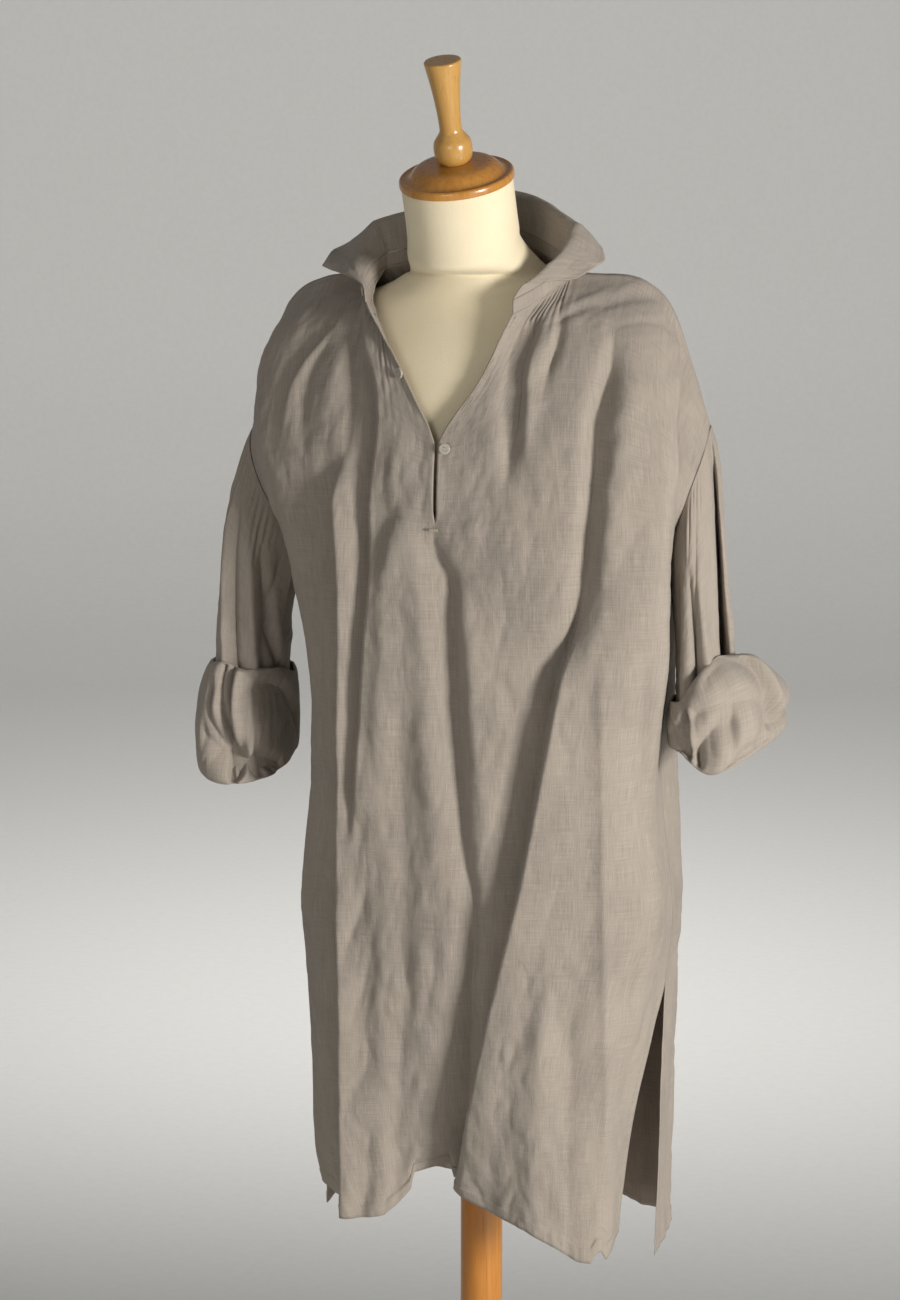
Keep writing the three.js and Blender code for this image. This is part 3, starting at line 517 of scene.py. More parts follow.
FRONT_LEFT = named([
    [[62, -88, 1492], [101, -14, 1532], [192, 8, 1507], [239, 14, 1378]],
    [[33, -101, 1428], [108, -72, 1478], [200, -50, 1450], [239, -14, 1350]],
    [[-8, -112, 1362], [112, -98, 1392], [212, -74, 1366], [231, -32, 1315]],
    [[0, -117, 1300], [116, -106, 1308], [219, -78, 1300], [215, -24, 1275]],
    [[0, -119, 1235], [118, -110, 1238], [221, -79, 1238], [197, 6, 1245]],
    [[0, -121, 1130], [116, -112, 1130], [219, -78, 1130], [192, 8, 1130]],
    [[0, -121, 1000], [114, -112, 1000], [202, -72, 1000], [194, 10, 1000]],
    [[0, -121, 880], [114, -113, 880], [206, -74, 880], [206, 12, 880]],
    [[0, -122, 800], [112, -116, 800], [192, -84, 800], [202, 6, 800]],
    [[0, -118, 690], [106, -124, 690], [170, -98, 688], [190, -50, 686]],
    [[0, -112, 606], [108, -128, 600], [166, -108, 602], [182, -66, 606]],
    [[0, -108, 556], [112, -130, 548], [166, -112, 548], [178, -74, 556]],
])
FRONT_RIGHT = named([
    [[-92, -87, 1500], [-101, -14, 1532], [-209, -10, 1498], [-250, 2, 1378]],
    [[-46, -102, 1432], [-112, -72, 1478], [-219, -54, 1444], [-252, -24, 1350]],
    [[-8, -112, 1362], [-114, -98, 1392], [-214, -76, 1366], [-238, -40, 1315]],
    [[0, -117, 1300], [-116, -107, 1308], [-206, -80, 1300], [-220, -32, 1275]],
    [[0, -119, 1235], [-116, -112, 1238], [-190, -80, 1238], [-200, -6, 1245]],
    [[0, -121, 1130], [-116, -114, 1130], [-176, -76, 1130], [-190, -2, 1130]],
    [[0, -121, 1000], [-114, -114, 1000], [-174, -76, 1000], [-194, 0, 1000]],
    [[0, -121, 880], [-114, -115, 880], [-178, -78, 880], [-207, 2, 880]],
    [[0, -122, 800], [-114, -118, 800], [-172, -84, 800], [-203, -2, 800]],
    [[0, -118, 690], [-108, -124, 690], [-156, -96, 690], [-178, -44, 690]],
    [[0, -112, 606], [-96, -128, 604], [-142, -106, 604], [-168, -62, 606]],
    [[0, -108, 556], [-84, -130, 550], [-128, -110, 550], [-156, -68, 556]],
])
BACK = named([
    [[0, 62, 1555], [101, -14, 1532], [192, 8, 1507], [239, 14, 1378]],
    [[0, 84, 1500], [104, 52, 1486], [192, 52, 1440], [237, 48, 1345]],
    [[0, 102, 1420], [110, 96, 1404], [206, 74, 1366], [226, 60, 1305]],
    [[0, 108, 1320], [112, 104, 1316], [204, 82, 1300], [210, 42, 1268]],
    [[0, 112, 1240], [112, 106, 1240], [190, 82, 1240], [197, 6, 1245]],
    [[0, 114, 1130], [112, 108, 1130], [184, 82, 1130], [192, 8, 1130]],
    [[0, 116, 1000], [112, 110, 1000], [188, 84, 1000], [194, 10, 1000]],
    [[0, 118, 880], [112, 114, 880], [192, 88, 880], [206, 12, 880]],
    [[0, 120, 800], [112, 116, 800], [188, 90, 800], [202, 8, 800]],
    [[0, 122, 690], [110, 118, 690], [186, 88, 690], [202, -8, 690]],
    [[0, 124, 596], [108, 120, 594], [184, 90, 586], [202, -14, 582]],
    [[0, 126, 520], [108, 122, 516], [184, 90, 510], [200, -18, 506]],
])
# The front hem: places across the view, and the height over the floor at each.
FRONT_HEM = [
    [-170, 556], [-157, 550], [-136, 549], [-103, 552], [-88, 562], [-75, 576], [-72, 594],
    [-54, 597], [-34, 600], [-31, 583], [4, 572], [42, 564], [73, 549], [96, 534],
    [110, 531], [116, 541], [121, 541], [126, 530], [140, 545],
]
HEM_LEVEL = 552
SPLIT_ROW = 3.3
SLIT_X = -8
UNDERARM_ROW = 4
VENT_ROW = 8
HEM_ROW = 9.5
LAST_ROW = 11
HEM_BAND = {"front": 0.3, "back": 0.2}
SECTION_KNOTS = [0, 0.42, 0.78, 1]
NECK_S = SECTION_KNOTS[1]
NECK_BOW = 9
SLIT_HALF = 1.6
SEAM = 0.1


def mirrored(table):
    return [{name: [-x, y, z] for name, (x, y, z) in row.items()} for row in table]


def meet(table, front):
    """The back's edges are the front's, where the two are sewn together."""
    rows = [dict(row) for row in table]
    for number, row in enumerate(rows):
        if not (0 < number < UNDERARM_ROW or number > VENT_ROW):
            row["edge"] = front[number]["edge"]
    rows[0]["chest"] = front[0]["chest"]
    rows[0]["corner"] = front[0]["corner"]
    return rows


BACK_LEFT = meet(BACK, FRONT_LEFT)
BACK_RIGHT = meet(mirrored(BACK), FRONT_RIGHT)
# The back's loose edge below the wearer's right vent hangs further in and back.
for row in BACK_RIGHT[VENT_ROW + 1 :]:
    x, y, z = row["edge"]
    row["edge"] = [x + 16, y + 24, z]
HALVES = {
    ("front", "left"): (FRONT_LEFT, FRONT_RIGHT),
    ("front", "right"): (FRONT_RIGHT, FRONT_LEFT),
    ("back", "left"): (BACK_LEFT, BACK_RIGHT),
    ("back", "right"): (BACK_RIGHT, BACK_LEFT),
}


def hem_at(across):
    """The height of the front hem at a place across the view; its corners stay sharp."""
    places, heights = np.transpose(FRONT_HEM)
    return np.interp(across, places, heights)


print("sections:", len(FRONT_LEFT), "rows a half")

# %% [markdown]
# ## The folds
# Each fold is a line that the eye follows down the cloth, given by a few points: how far to the right
# of the pole it lies in the picture's own direction, and how high. A valley has a negative depth and a
# ridge a positive one. Its two flanks have their own widths, because most folds lean to one side, and
# a low roundness makes a sharp crease. A fold with an under value is a lap: its right side lies over
# its left side, like the broad fold that crosses the skirt. The back isn't seen in the picture, so its
# folds are of the same kind, fewer, and several run from the gathers at the neckband down.

# %% The table of folds
FRONT_FOLDS = [
    # From the neckband over the viewer's left breast.
    {"depth": 4, "under": -9, "left": 12, "right": 16, "round": 1.4, "edge": 7,
     "path": [[-116, 1518], [-138, 1494], [-162, 1467], [-190, 1432], [-204, 1396], [-209, 1360]]},
    {"depth": -7, "left": 7, "right": 9, "round": 1.4,
     "path": [[-131, 1503], [-157, 1462], [-175, 1432], [-183, 1398], [-185, 1338]]},
    {"depth": -10, "left": 8, "right": 10, "round": 1.4,
     "path": [[-123, 1500], [-133, 1447], [-137, 1399], [-139, 1340]]},
    {"depth": 5, "under": -13, "left": 13, "right": 24, "round": 1.5, "edge": 8,
     "path": [[-121, 1518], [-122, 1490], [-121, 1451], [-111, 1426], [-108, 1375], [-114, 1332],
              [-119, 1283], [-118, 1221], [-123, 1159], [-127, 1084], [-132, 1009], [-136, 940]]},
    {"depth": 6, "left": 12, "right": 26, "round": 1.7,
     "path": [[-92, 1420], [-86, 1360], [-90, 1290], [-98, 1210], [-102, 1120], [-106, 1010]]},
    {"depth": -9, "left": 30, "right": 9, "round": 1.6,
     "path": [[-70, 1336], [-92, 1290], [-108, 1248], [-112, 1200]]},
    {"depth": -7, "left": 4, "right": 7, "round": 1.3,
     "path": [[-206, 1377], [-190, 1379], [-180, 1384], [-165, 1395]]},
    {"depth": 11, "under": -21, "left": 40, "right": 16, "round": 1.7, "edge": 11,
     "path": [[-140, 1350], [-155, 1310], [-153, 1262], [-149, 1190], [-151, 1105], [-152, 950], [-151, 792],
              [-150, 631], [-148, 540], [-148, 440]]},
    {"depth": -7, "left": 9, "right": 9, "round": 1.5,
     "path": [[-184, 1330], [-188, 1230], [-184, 1110], [-182, 980], [-186, 860]]},
    # Below the slit, down the middle.
    {"depth": -13, "left": 12, "right": 8, "round": 1.35,
     "path": [[-51, 1296], [-50, 1252], [-36, 1228], [-33, 1159], [-32, 1095], [-28, 1031], [-22, 950],
              [-14, 895], [-18, 792], [-24, 685], [-29, 598], [-32, 480]]},
    {"depth": 5, "left": 12, "right": 15, "round": 1.8,
     "path": [[-30, 1244], [-16, 1160], [-10, 1070], [2, 960]]},
    {"depth": 4, "left": 14, "right": 14, "round": 1.9,
     "path": [[-70, 1270], [-62, 1180], [-56, 1050], [-46, 930]]},
    {"depth": -5, "left": 14, "right": 16, "round": 1.7,
     "path": [[-86, 1150], [-84, 1000], [-80, 850], [-86, 700], [-90, 560], [-92, 460]]},
    # From the neckband over the viewer's right breast.
    {"depth": -19, "left": 7, "right": 12, "round": 1.35,
     "path": [[61, 1520], [45, 1482], [30, 1451], [24, 1406], [22, 1357], [20, 1310]]},
    {"depth": 6, "left": 8, "right": 8, "round": 1.7,
     "path": [[66, 1512], [56, 1478], [44, 1440], [42, 1396], [40, 1330]]},
    {"depth": -11, "left": 5, "right": 7, "round": 1.4,
     "path": [[75, 1520], [76, 1503], [72, 1470], [60, 1430], [56, 1400]]},
    {"depth": -9, "left": 5, "right": 6, "round": 1.4,
     "path": [[88, 1524], [92, 1500], [98, 1474]]},
    {"depth": -19, "left": 7, "right": 16, "round": 1.35,
     "path": [[118, 1492], [126, 1474], [123, 1441], [114, 1412], [107, 1390], [104, 1332], [98, 1262],
              [86, 1170], [78, 1120]]},
    {"depth": 6, "left": 14, "right": 18, "round": 1.8,
     "path": [[142, 1462], [140, 1420], [132, 1370], [124, 1320], [118, 1250], [112, 1190]]},
    {"depth": -6, "left": 8, "right": 8, "round": 1.4,
     "path": [[99, 1528], [126, 1518], [160, 1504]]},
    {"depth": -5, "left": 7, "right": 8, "round": 1.4,
     "path": [[104, 1512], [139, 1490], [172, 1462]]},
    {"depth": -14, "under": 7, "left": 14, "right": 12, "round": 1.4, "edge": 5,
     "path": [[190, 1492], [196, 1463], [191, 1416], [189, 1369], [191, 1310], [192, 1270]]},
    # The broad fold that crosses the skirt, and the skirt beside it.
    {"depth": 15, "under": -19, "left": 30, "right": 60, "round": 1.3, "edge": 6,
     "path": [[96, 1215], [86, 1170], [77, 1140], [66, 1084], [56, 1030], [44, 960], [32, 897], [15, 823],
              [4, 773], [-12, 685], [-24, 620], [-35, 533], [-46, 440]]},
    {"depth": -7, "left": 16, "right": 16, "round": 1.7,
     "path": [[158, 1190], [159, 1099], [159, 1043], [159, 960], [156, 900]]},
    {"depth": 4, "left": 6, "right": 18, "round": 1.2,
     "path": [[117, 1170], [118, 1002], [121, 845], [124, 700], [128, 560], [130, 450]]},
    {"depth": -7, "left": 8, "right": 10, "round": 1.4,
     "path": [[166, 880], [156, 838], [142, 800], [122, 750]]},
    {"depth": -5, "left": 6, "right": 8, "round": 1.4,
     "path": [[168, 850], [146, 790], [136, 730]]},
    {"depth": -6, "left": 6, "right": 9, "round": 1.4,
     "path": [[-108, 926], [-126, 880], [-138, 845], [-146, 792]]},
    {"depth": -5, "left": 6, "right": 8, "round": 1.4,
     "path": [[-112, 860], [-124, 800], [-140, 740]]},
    {"depth": 4, "left": 14, "right": 14, "round": 1.9,
     "path": [[66, 880], [62, 780], [54, 680], [52, 560], [52, 450]]},
    {"depth": -4, "left": 12, "right": 14, "round": 1.7,
     "path": [[92, 840], [88, 740], [86, 640], [90, 540], [92, 450]]},
    {"depth": -6, "left": 9, "right": 11, "round": 1.5,
     "path": [[-112, 640], [-120, 590], [-132, 540], [-140, 480]]},
]
BACK_FOLDS = [
    {"depth": 11, "left": 18, "right": 26, "round": 1.8,
     "path": [[4, 1520], [0, 1400], [-4, 1200], [6, 900], [10, 540], [10, 420]]},
    {"depth": -12, "left": 12, "right": 16, "round": 1.5,
     "path": [[30, 1530], [46, 1380], [50, 1180], [44, 900], [38, 560], [38, 430]]},
    {"depth": -12, "left": 14, "right": 12, "round": 1.5,
     "path": [[-34, 1530], [-54, 1400], [-56, 1200], [-46, 900], [-40, 560], [-40, 430]]},
    {"depth": 10, "under": -10, "left": 22, "right": 30, "round": 1.5, "edge": 9,
     "path": [[74, 1500], [96, 1400], [104, 1200], [98, 900], [92, 540], [90, 430]]},
    {"depth": 9, "left": 22, "right": 16, "round": 1.7,
     "path": [[-78, 1500], [-104, 1400], [-112, 1220], [-106, 900], [-104, 540], [-104, 430]]},
    {"depth": -10, "left": 14, "right": 14, "round": 1.5,
     "path": [[150, 1400], [156, 1230], [150, 1000], [146, 760], [150, 560], [150, 430]]},
    {"depth": -10, "left": 14, "right": 14, "round": 1.5,
     "path": [[-148, 1400], [-154, 1240], [-152, 1000], [-158, 780], [-156, 560], [-156, 430]]},
    {"depth": 5, "left": 12, "right": 16, "round": 1.7,
     "path": [[24, 1180], [20, 1000], [24, 820], [20, 640]]},
    {"depth": -6, "left": 10, "right": 14, "round": 1.4,
     "path": [[-20, 1100], [-24, 960], [-16, 800], [-20, 620]]},
    {"depth": -6, "left": 10, "right": 12, "round": 1.4,
     "path": [[78, 1020], [70, 880], [66, 700], [64, 560]]},
    {"depth": 5, "left": 12, "right": 12, "round": 1.7,
     "path": [[-76, 1060], [-80, 900], [-72, 700], [-70, 560]]},
    {"depth": -8, "left": 7, "right": 9, "round": 1.4,
     "path": [[96, 1500], [130, 1450], [176, 1396], [196, 1330]]},
    {"depth": -8, "left": 7, "right": 9, "round": 1.4,
     "path": [[-98, 1504], [-134, 1456], [-178, 1400], [-198, 1334]]},
    {"depth": -6, "left": 7, "right": 8, "round": 1.4,
     "path": [[120, 1340], [104, 1250], [112, 1160]]},
    {"depth": -6, "left": 7, "right": 8, "round": 1.4,
     "path": [[-90, 1440], [-82, 1330], [-88, 1210]]},
]


FADE = 90
LAP_EDGE = 5


def near_path(path, x, z):
    """Signed distance from a line of points, the way along it, and its whole length."""
    best = np.full(np.shape(x), np.inf)
    along = np.zeros(np.shape(x))
    done = 0.0
    for (start_x, start_z), (end_x, end_z) in zip(path[:-1], path[1:]):
        run, rise = end_x - start_x, end_z - start_z
        length = math.hypot(run, rise)
        t = np.clip(((x - start_x) * run + (z - start_z) * rise) / length**2, 0, 1)
        off_x, off_z = x - start_x - t * run, z - start_z - t * rise
        distance = np.hypot(off_x, off_z) * np.where(off_z * run - off_x * rise < 0, -1, 1)
        nearer = np.abs(distance) < np.abs(best)
        best = np.where(nearer, distance, best)
        along = np.where(nearer, done + t * length, along)
        done += length
    return best, along, done


def folded(folds, x, z):
    """How far all folds of a table move a point out."""
    out = np.zeros(np.shape(x))
    for fold in folds:
        path = fold["path"]
        knots = np.cumsum([0] + [math.dist(a, b) for a, b in zip(path[:-1], path[1:])])
        smooth = hermite(knots, path, np.linspace(0, knots[-1], 4 * len(path))).tolist()
        distance, along, total = near_path(smooth, x, z)
        width = np.where(distance > 0, fold["right"], fold["left"])
        reach = fold.get("fade", FADE)
        fade = ease(along / reach + 0.08) * ease((total - along) / reach + 0.08)
        flank = np.exp(-((np.abs(distance) / width) ** fold["round"]))
        if "under" in fold:
            over = ease(distance / fold.get("edge", LAP_EDGE) + 0.5)
            out += mix(fold["under"], fold["depth"], over) * flank * fade
        else:
            out += fold["depth"] * flank * fade
    return out


print("folds:", len(FRONT_FOLDS), "on the front,", len(BACK_FOLDS), "on the back")

# %% [markdown]
# ## Room for the form
# Cloth can't sink into what it lies on. Where a valley would, it rests on the form instead: the form's
# section at that height is an oval, and a point inside it is pushed out until it is just clear.

# %% The form's sections
FORM_TOP_OFFSET = -2.4
FORM = [
    {"z": 868, "half": 158, "front": 96, "back": 98, "square": 2.3},
    {"z": 880, "half": 166, "front": 103, "back": 105, "square": 2.3},
    {"z": 980, "half": 160, "front": 98, "back": 104, "square": 2.3},
    {"z": 1090, "half": 143, "front": 84, "back": 88, "square": 2.3},
    {"z": 1200, "half": 156, "front": 92, "back": 94, "square": 2.4},
    {"z": 1320, "half": 170, "front": 100, "back": 98, "square": 2.5},
    {"z": 1400, "half": 180, "front": 95, "back": 92, "square": 2.4},
    {"z": 1450, "half": 186, "front": 84, "back": 78, "square": 2.2},
    {"z": 1480, "half": 178, "front": 72, "back": 62, "square": 2.0},
    {"z": 1500, "half": 148, "front": 66, "back": 52, "square": 1.9},
    {"z": 1516, "half": 104, "front": 68, "back": 46, "square": 1.9},
    {"z": 1532, "half": 74, "front": 76, "back": 38, "square": 2.0},
]
form_at = reader(FORM, "z")
FORM_CLEAR = 1.6
FORM_REACH = (860, 1529)
FORM_PUSH = 1.25


def clear_of_form(points):
    """Pushes points outwards to where they are clear of the form."""
    x, y, z = np.moveaxis(points, -1, 0)
    oval = form_at(z - FORM_TOP_OFFSET)
    deep = np.where(y < 0, oval["front"], oval["back"]) + FORM_CLEAR
    wide = oval["half"] + FORM_CLEAR
    reach = np.abs(x / wide) ** oval["square"] + np.abs(y / deep) ** oval["square"]
    scale = np.maximum(reach, 1e-6) ** (-1 / oval["square"])
    inside = (scale > 1) & (z > FORM_REACH[0]) & (z < FORM_REACH[1])
    out = points.copy()
    out[..., :2] *= np.where(inside, np.minimum(scale, FORM_PUSH), 1)[..., None]
    return out


# %% [markdown]
# ## A point of the body's cloth
# One function gives every point of the two panels, so that the neckband, the sleeves and the stitches
# can ask it where they belong. It reads the section, adds the gathers under the neckband, the folds
# and the crumples, and shapes the hem. Near the seams the folds calm down, because sewn edges are flat.

# %% The finished body
NEAR_S = 0.004
NEAR_ROW = 0.02
GATHER_DEPTH = 5.0
ROW_ENDS = ((0, UNDERARM_ROW), (UNDERARM_ROW, VENT_ROW), (VENT_ROW, LAST_ROW))


def section(face, side, s, row):
    """The smooth form before folds: s runs from the middle to the edge, row down the table."""
    own, other = HALVES[face, side]

    def column(table, name, first=0, last=LAST_ROW):
        return hermite(range(first, last + 1), [r[name] for r in table[first : last + 1]], row)

    middle, chest, corner = (column(own, name) for name in POINTS[:3])
    edges = [column(own, "edge", first, last) for first, last in ROW_ENDS]
    high, low = (row <= UNDERARM_ROW)[..., None], (row <= VENT_ROW)[..., None]
    edge = np.where(high, edges[0], np.where(low, edges[1], edges[2]))
    hang = SLIT_X * (1 - ease((row - SPLIT_ROW) / 1.5)) if face == "front" else 0 * row
    middle = middle.copy()
    middle[..., 0] = np.where(row >= 2, hang, middle[..., 0])
    mate = column(other, "chest")
    slit = (row < SPLIT_ROW) & (face == "front")
    points = np.stack([middle, chest, corner, edge])
    whole = np.concatenate([mate[None], points])
    smooth = np.where(
        slit[..., None], hermite(SECTION_KNOTS, points, s), hermite([-NECK_S] + SECTION_KNOTS, whole, s)
    )
    neck = np.where(
        slit[..., None], hermite([0, NECK_S], points[:2], s), hermite([-NECK_S, 0, NECK_S], whole[:3], s)
    )
    top = np.where((s <= NECK_S)[..., None], neck, hermite(SECTION_KNOTS[1:], points[1:], s))
    bow = np.where(slit & (s < NECK_S), NECK_BOW * np.sin(math.pi * s / NECK_S) * np.sign(top[..., 0]), 0)
    top[..., 0] += bow
    return np.where((row < 1)[..., None], top + (smooth - top) * ease(row)[..., None], smooth)


def across_view(points):
    """How far to the viewer's right of the pole points lie in the picture."""
    return points[..., 0] * math.cos(VIEW) + points[..., 1] * math.sin(VIEW)


def neck_gathers(face, side, s, row):
    """Small pleats that the neckband holds, uneven in depth and length."""
    seed = 3 if side == "left" else 4
    phase = s * 150 + 2.2 * hills(s * 60, 0 * s, 6, seed)
    strong = 0.6 + 0.5 * hills(s * 60, row * 2, 4, seed + 8)
    start = ease((s - 0.04) / 0.08) if face == "front" else 1 + 0 * s
    length = 0.75 + 0.3 * hills(s * 60, 0 * s, 3, seed + 4)
    fade = ease(row / 0.22 + 0.1) * np.exp(-((row / length) ** 2))
    return GATHER_DEPTH * (0.6 + np.cos(phase)) * strong * fade * start * ease((NECK_S + 0.06 - s) / 0.1)


def crumpled(points, face, s, row):
    """Unevenness of washed cloth, larger at the shoulders and the foot."""
    girth = across_view(points) if face == "front" else points[..., 0]
    girth = girth + 1.3 * np.abs(points[..., 1])
    seed = 11 if face == "front" else 31
    high = ease((1.6 - row) / 1.2) * ease((s - 0.3) / 0.2)
    low = ease((row - 6.5) / 2.5)
    tall = points[..., 2]
    out = 1.1 * hills(girth, tall * 0.3, 34, seed)
    out += 0.8 * hills(girth, tall * 0.35, 16, seed + 1) * (0.7 + 0.5 * low)
    out += (1.0 + 1.4 * high + 0.9 * low) * creases(girth, tall * 0.45, 30, seed + 2)
    out += (0.6 + 0.5 * high + 0.4 * low) * creases(girth, tall * 0.5, 13, seed + 3)
    return out + 0.35 * creases(girth, tall * 0.6, 7, seed + 4)


def hem_band(face, s, row):
    """How far the turned hem stands out: a little more or less between its stitches."""
    edge = LAST_ROW - HEM_BAND[face]
    return ease((row - edge) / 0.04) * (0.6 + 0.5 * hills(s * 240, row * 20, 7, 41))


def body(face, side, s, row, fine=True):
    """Points of the finished panel, in millimetres."""
    s, row = np.broadcast_arrays(np.asarray(s, float), np.asarray(row, float))
    points = section(face, side, s, row)
    ahead = section(face, side, np.minimum(1, s + NEAR_S), row)
    behind = section(face, side, np.maximum(0, s - NEAR_S), row)
    below = section(face, side, s, np.minimum(LAST_ROW, row + NEAR_ROW))
    above = section(face, side, s, np.maximum(0, row - NEAR_ROW))
    outwards = np.cross(ahead - behind, below - above)
    outwards /= np.maximum(np.linalg.norm(outwards, axis=-1), TINY)[..., None]
    if (face == "front") == (side == "left"):
        outwards = -outwards
    forward = -1 if face == "front" else 1
    wrong = (outwards[..., 1] * forward < 0) & (np.abs(outwards[..., 1]) > 0.5)
    outwards = np.where(wrong[..., None], -outwards, outwards)
    if face == "front":
        fold = folded(FRONT_FOLDS, across_view(points), points[..., 2])
    else:
        fold = folded(BACK_FOLDS, points[..., 0], points[..., 2])
    calm = ease((1 - s) / 0.12) * ease(row / 0.25 + (0.25 if face == "front" else 0))
    out = fold * calm
    if fine:
        out = out + neck_gathers(face, side, s, row) + crumpled(points, face, s, row) * (0.25 + 0.75 * calm)
        out = out + hem_band(face, s, row)
    points = clear_of_form(points + outwards * out[..., None])
    points[..., 1] += forward * SEAM / 2
    if face == "front":
        lift = (hem_at(across_view(points)) - HEM_LEVEL) * ease((row - HEM_ROW) / (LAST_ROW - HEM_ROW))
        points[..., 2] += np.where(row > HEM_ROW, lift, 0)
        gape = SLIT_HALF * ease((SPLIT_ROW - row) / 0.2) * (1 - s) ** 4 * (row < SPLIT_ROW)
        points[..., 0] += gape if side == "left" else -gape
    return points


# %% [markdown]
# ## Front and back
# The panels are sewn of one layer of linen, 0.9 mm thick with its fine crumples. The front is cut
# open in the middle down to the breast, so its two halves only share their points below the slit.
# The hem is turned and sewn, which shows as a slightly raised band.

# %% The two panels
CLOTH = 0.9
FRONT_COLUMNS = 122
BACK_COLUMNS = 84


def spread(stops):
    """Rows between the given ones, each with its own number of steps."""
    pairs = zip(stops[:-1], stops[1:])
    parts = [np.linspace(start, end, count, endpoint=False) for (start, _), (end, count) in pairs]
    return np.concatenate(parts + [[stops[-1][0]]])


FRONT_ROWS = spread([
    (0, 0), (1, 22), (2, 20), (SPLIT_ROW, 24), (4, 10), (5, 20), (6, 22), (7, 20), (8, 13), (9, 18),
    (10, 14), (10.7, 7), (10.75, 2), (11, 3),
])
BACK_ROWS = spread([
    (0, 0), (1, 22), (2, 22), (4, 36), (5, 20), (6, 22), (7, 20), (8, 14), (9, 19), (10, 16),
    (10.8, 10), (10.85, 2), (11, 3),
])


def panel(name, face, columns, rows):
    """One shell from both halves, joined down the middle where the slit doesn't part them."""
    s = spread([(0, 0), (0.55, round(columns * 0.55)), (1, round(columns * 0.45))])
    halves = {side: body(face, side, s[None, :], rows[:, None]) for side in ("right", "left")}
    count = len(rows) * len(s)
    ids = {"right": np.arange(count).reshape(len(rows), -1)}
    ids["left"] = ids["right"] + count
    joined = np.ones(len(rows), bool) if face == "back" else rows >= SPLIT_ROW - TINY
    ids["left"][joined, 0] = ids["right"][joined, 0]
    points = np.concatenate([halves["right"].reshape(-1, 3), halves["left"].reshape(-1, 3)])
    maps = {side: cloth_map(half, -1 if side == "right" else 1, -1) for side, half in halves.items()}
    uv = np.concatenate([maps["right"].reshape(-1, 2), maps["left"].reshape(-1, 2)])
    quads = np.concatenate([grid_quads(ids["right"]), grid_quads(ids["left"])[:, ::-1]])
    if face == "front":
        quads = quads[:, ::-1]
    used, numbers = np.unique(quads, return_inverse=True)
    return shell(name, points[used], numbers.reshape(quads.shape)[:, ::-1], CLOTH, uv[used])


front_panel = panel("front_linen", "front", FRONT_COLUMNS, FRONT_ROWS)
back_panel = panel("back_linen", "back", BACK_COLUMNS, BACK_ROWS)
for obj in (front_panel, back_panel):
    obj.data.materials.append(LINEN)
    print(obj.name, len(obj.data.polygons), "faces")

# %% [markdown]
# ## Neckband and collar
# A straight band holds the gathers, and the collar is a straight strip of doubled linen sewn to it.
# Its button is open, so it stands at the back and its two ends fall open. For each place round
# the neck a table says how far the strip leans before and after its roll line, and a short walk up
# the strip adds up the leans to points.

# %% The strip round the neck
NECK_CENTRE = -20
COLLAR = [
    {"at": 0, "band": 10, "stand": 60, "fall": 78, "roll": 16, "swing": -64},
    {"at": 0.1, "band": 4, "stand": 48, "fall": 84, "roll": 22, "swing": -56},
    {"at": 0.25, "band": -6, "stand": 18, "fall": 130, "roll": 36, "swing": -14},
    {"at": 0.38, "band": -10, "stand": 8, "fall": 152, "roll": 40, "swing": -4},
    {"at": 0.5, "band": -12, "stand": 4, "fall": 160, "roll": 42, "swing": 0},
    {"at": 0.62, "band": -10, "stand": 4, "fall": 152, "roll": 40, "swing": 4},
    {"at": 0.75, "band": -12, "stand": 2, "fall": 138, "roll": 34, "swing": 14},
    {"at": 0.9, "band": -6, "stand": 24, "fall": 100, "roll": 26, "swing": 56},
    {"at": 1, "band": 2, "stand": 42, "fall": 86, "roll": 20, "swing": 84},
]
collar_at = reader(COLLAR, "at")
BAND_HEIGHT = 14
COLLAR_WIDTH = 72
ROLL_SOFTNESS = 20
WALK_STEP = 0.5
THREAD_LIFT = 0.12
STRIP_COLUMNS = 200
STRIP_ROUND = 560


def neckline(at):
    """The sewn edge of both panels, from the right front round the neck to the left front."""
    quarter = np.clip(np.floor(at * 4), 0, 3)

    def part(face, side, share):
        return body(face, side, NECK_S * np.clip(share, 0, 1), 0 * at, fine=False)

    parts = [
        part("front", "right", at * 4),
        part("back", "right", 2 - at * 4),
        part("back", "left", at * 4 - 2),
        part("front", "left", 4 - at * 4),
    ]
    return np.select([(quarter == k)[..., None] for k in range(4)], parts)


def neck_strip(at, lengths):
    """Points of the strip: one row for each length up from the neckline."""
    strip = collar_at(at)
    foot = neckline(at)
    plan = foot * [1, 1, 0] - [0, NECK_CENTRE, 0]
    plan /= np.linalg.norm(plan, axis=-1)[..., None]
    swing = np.radians(strip["swing"])
    cos, sin = np.cos(swing), np.sin(swing)
    plan = np.stack([plan[:, 0] * cos - plan[:, 1] * sin, plan[:, 0] * sin + plan[:, 1] * cos, 0 * at], 1)
    walk = np.arange(WALK_STEP / 2, max(lengths) + 1, WALK_STEP)[:, None]
    low = mix(strip["band"], strip["stand"], ease((walk - BAND_HEIGHT + 3) / 9))
    past_roll = ease((walk - BAND_HEIGHT - strip["roll"]) / ROLL_SOFTNESS + 0.5)
    high = mix(strip["stand"], strip["fall"], past_roll)
    lean = np.radians(np.where(walk < BAND_HEIGHT + strip["roll"] / 2, low, high))
    out = np.concatenate([[0 * at], np.cumsum(np.sin(lean), 0) * WALK_STEP])
    up = np.concatenate([[0 * at], np.cumsum(np.cos(lean), 0) * WALK_STEP])
    step = np.asarray(lengths) / WALK_STEP
    whole = np.floor(step).astype(int)
    share = (step - whole)[:, None]
    out = mix(out[whole], out[whole + 1], share)
    up = mix(up[whole], up[whole + 1], share)
    return foot[None] + plan[None] * out[..., None] + up[..., None] * np.array([0, 0, 1])


STRIPS = {}


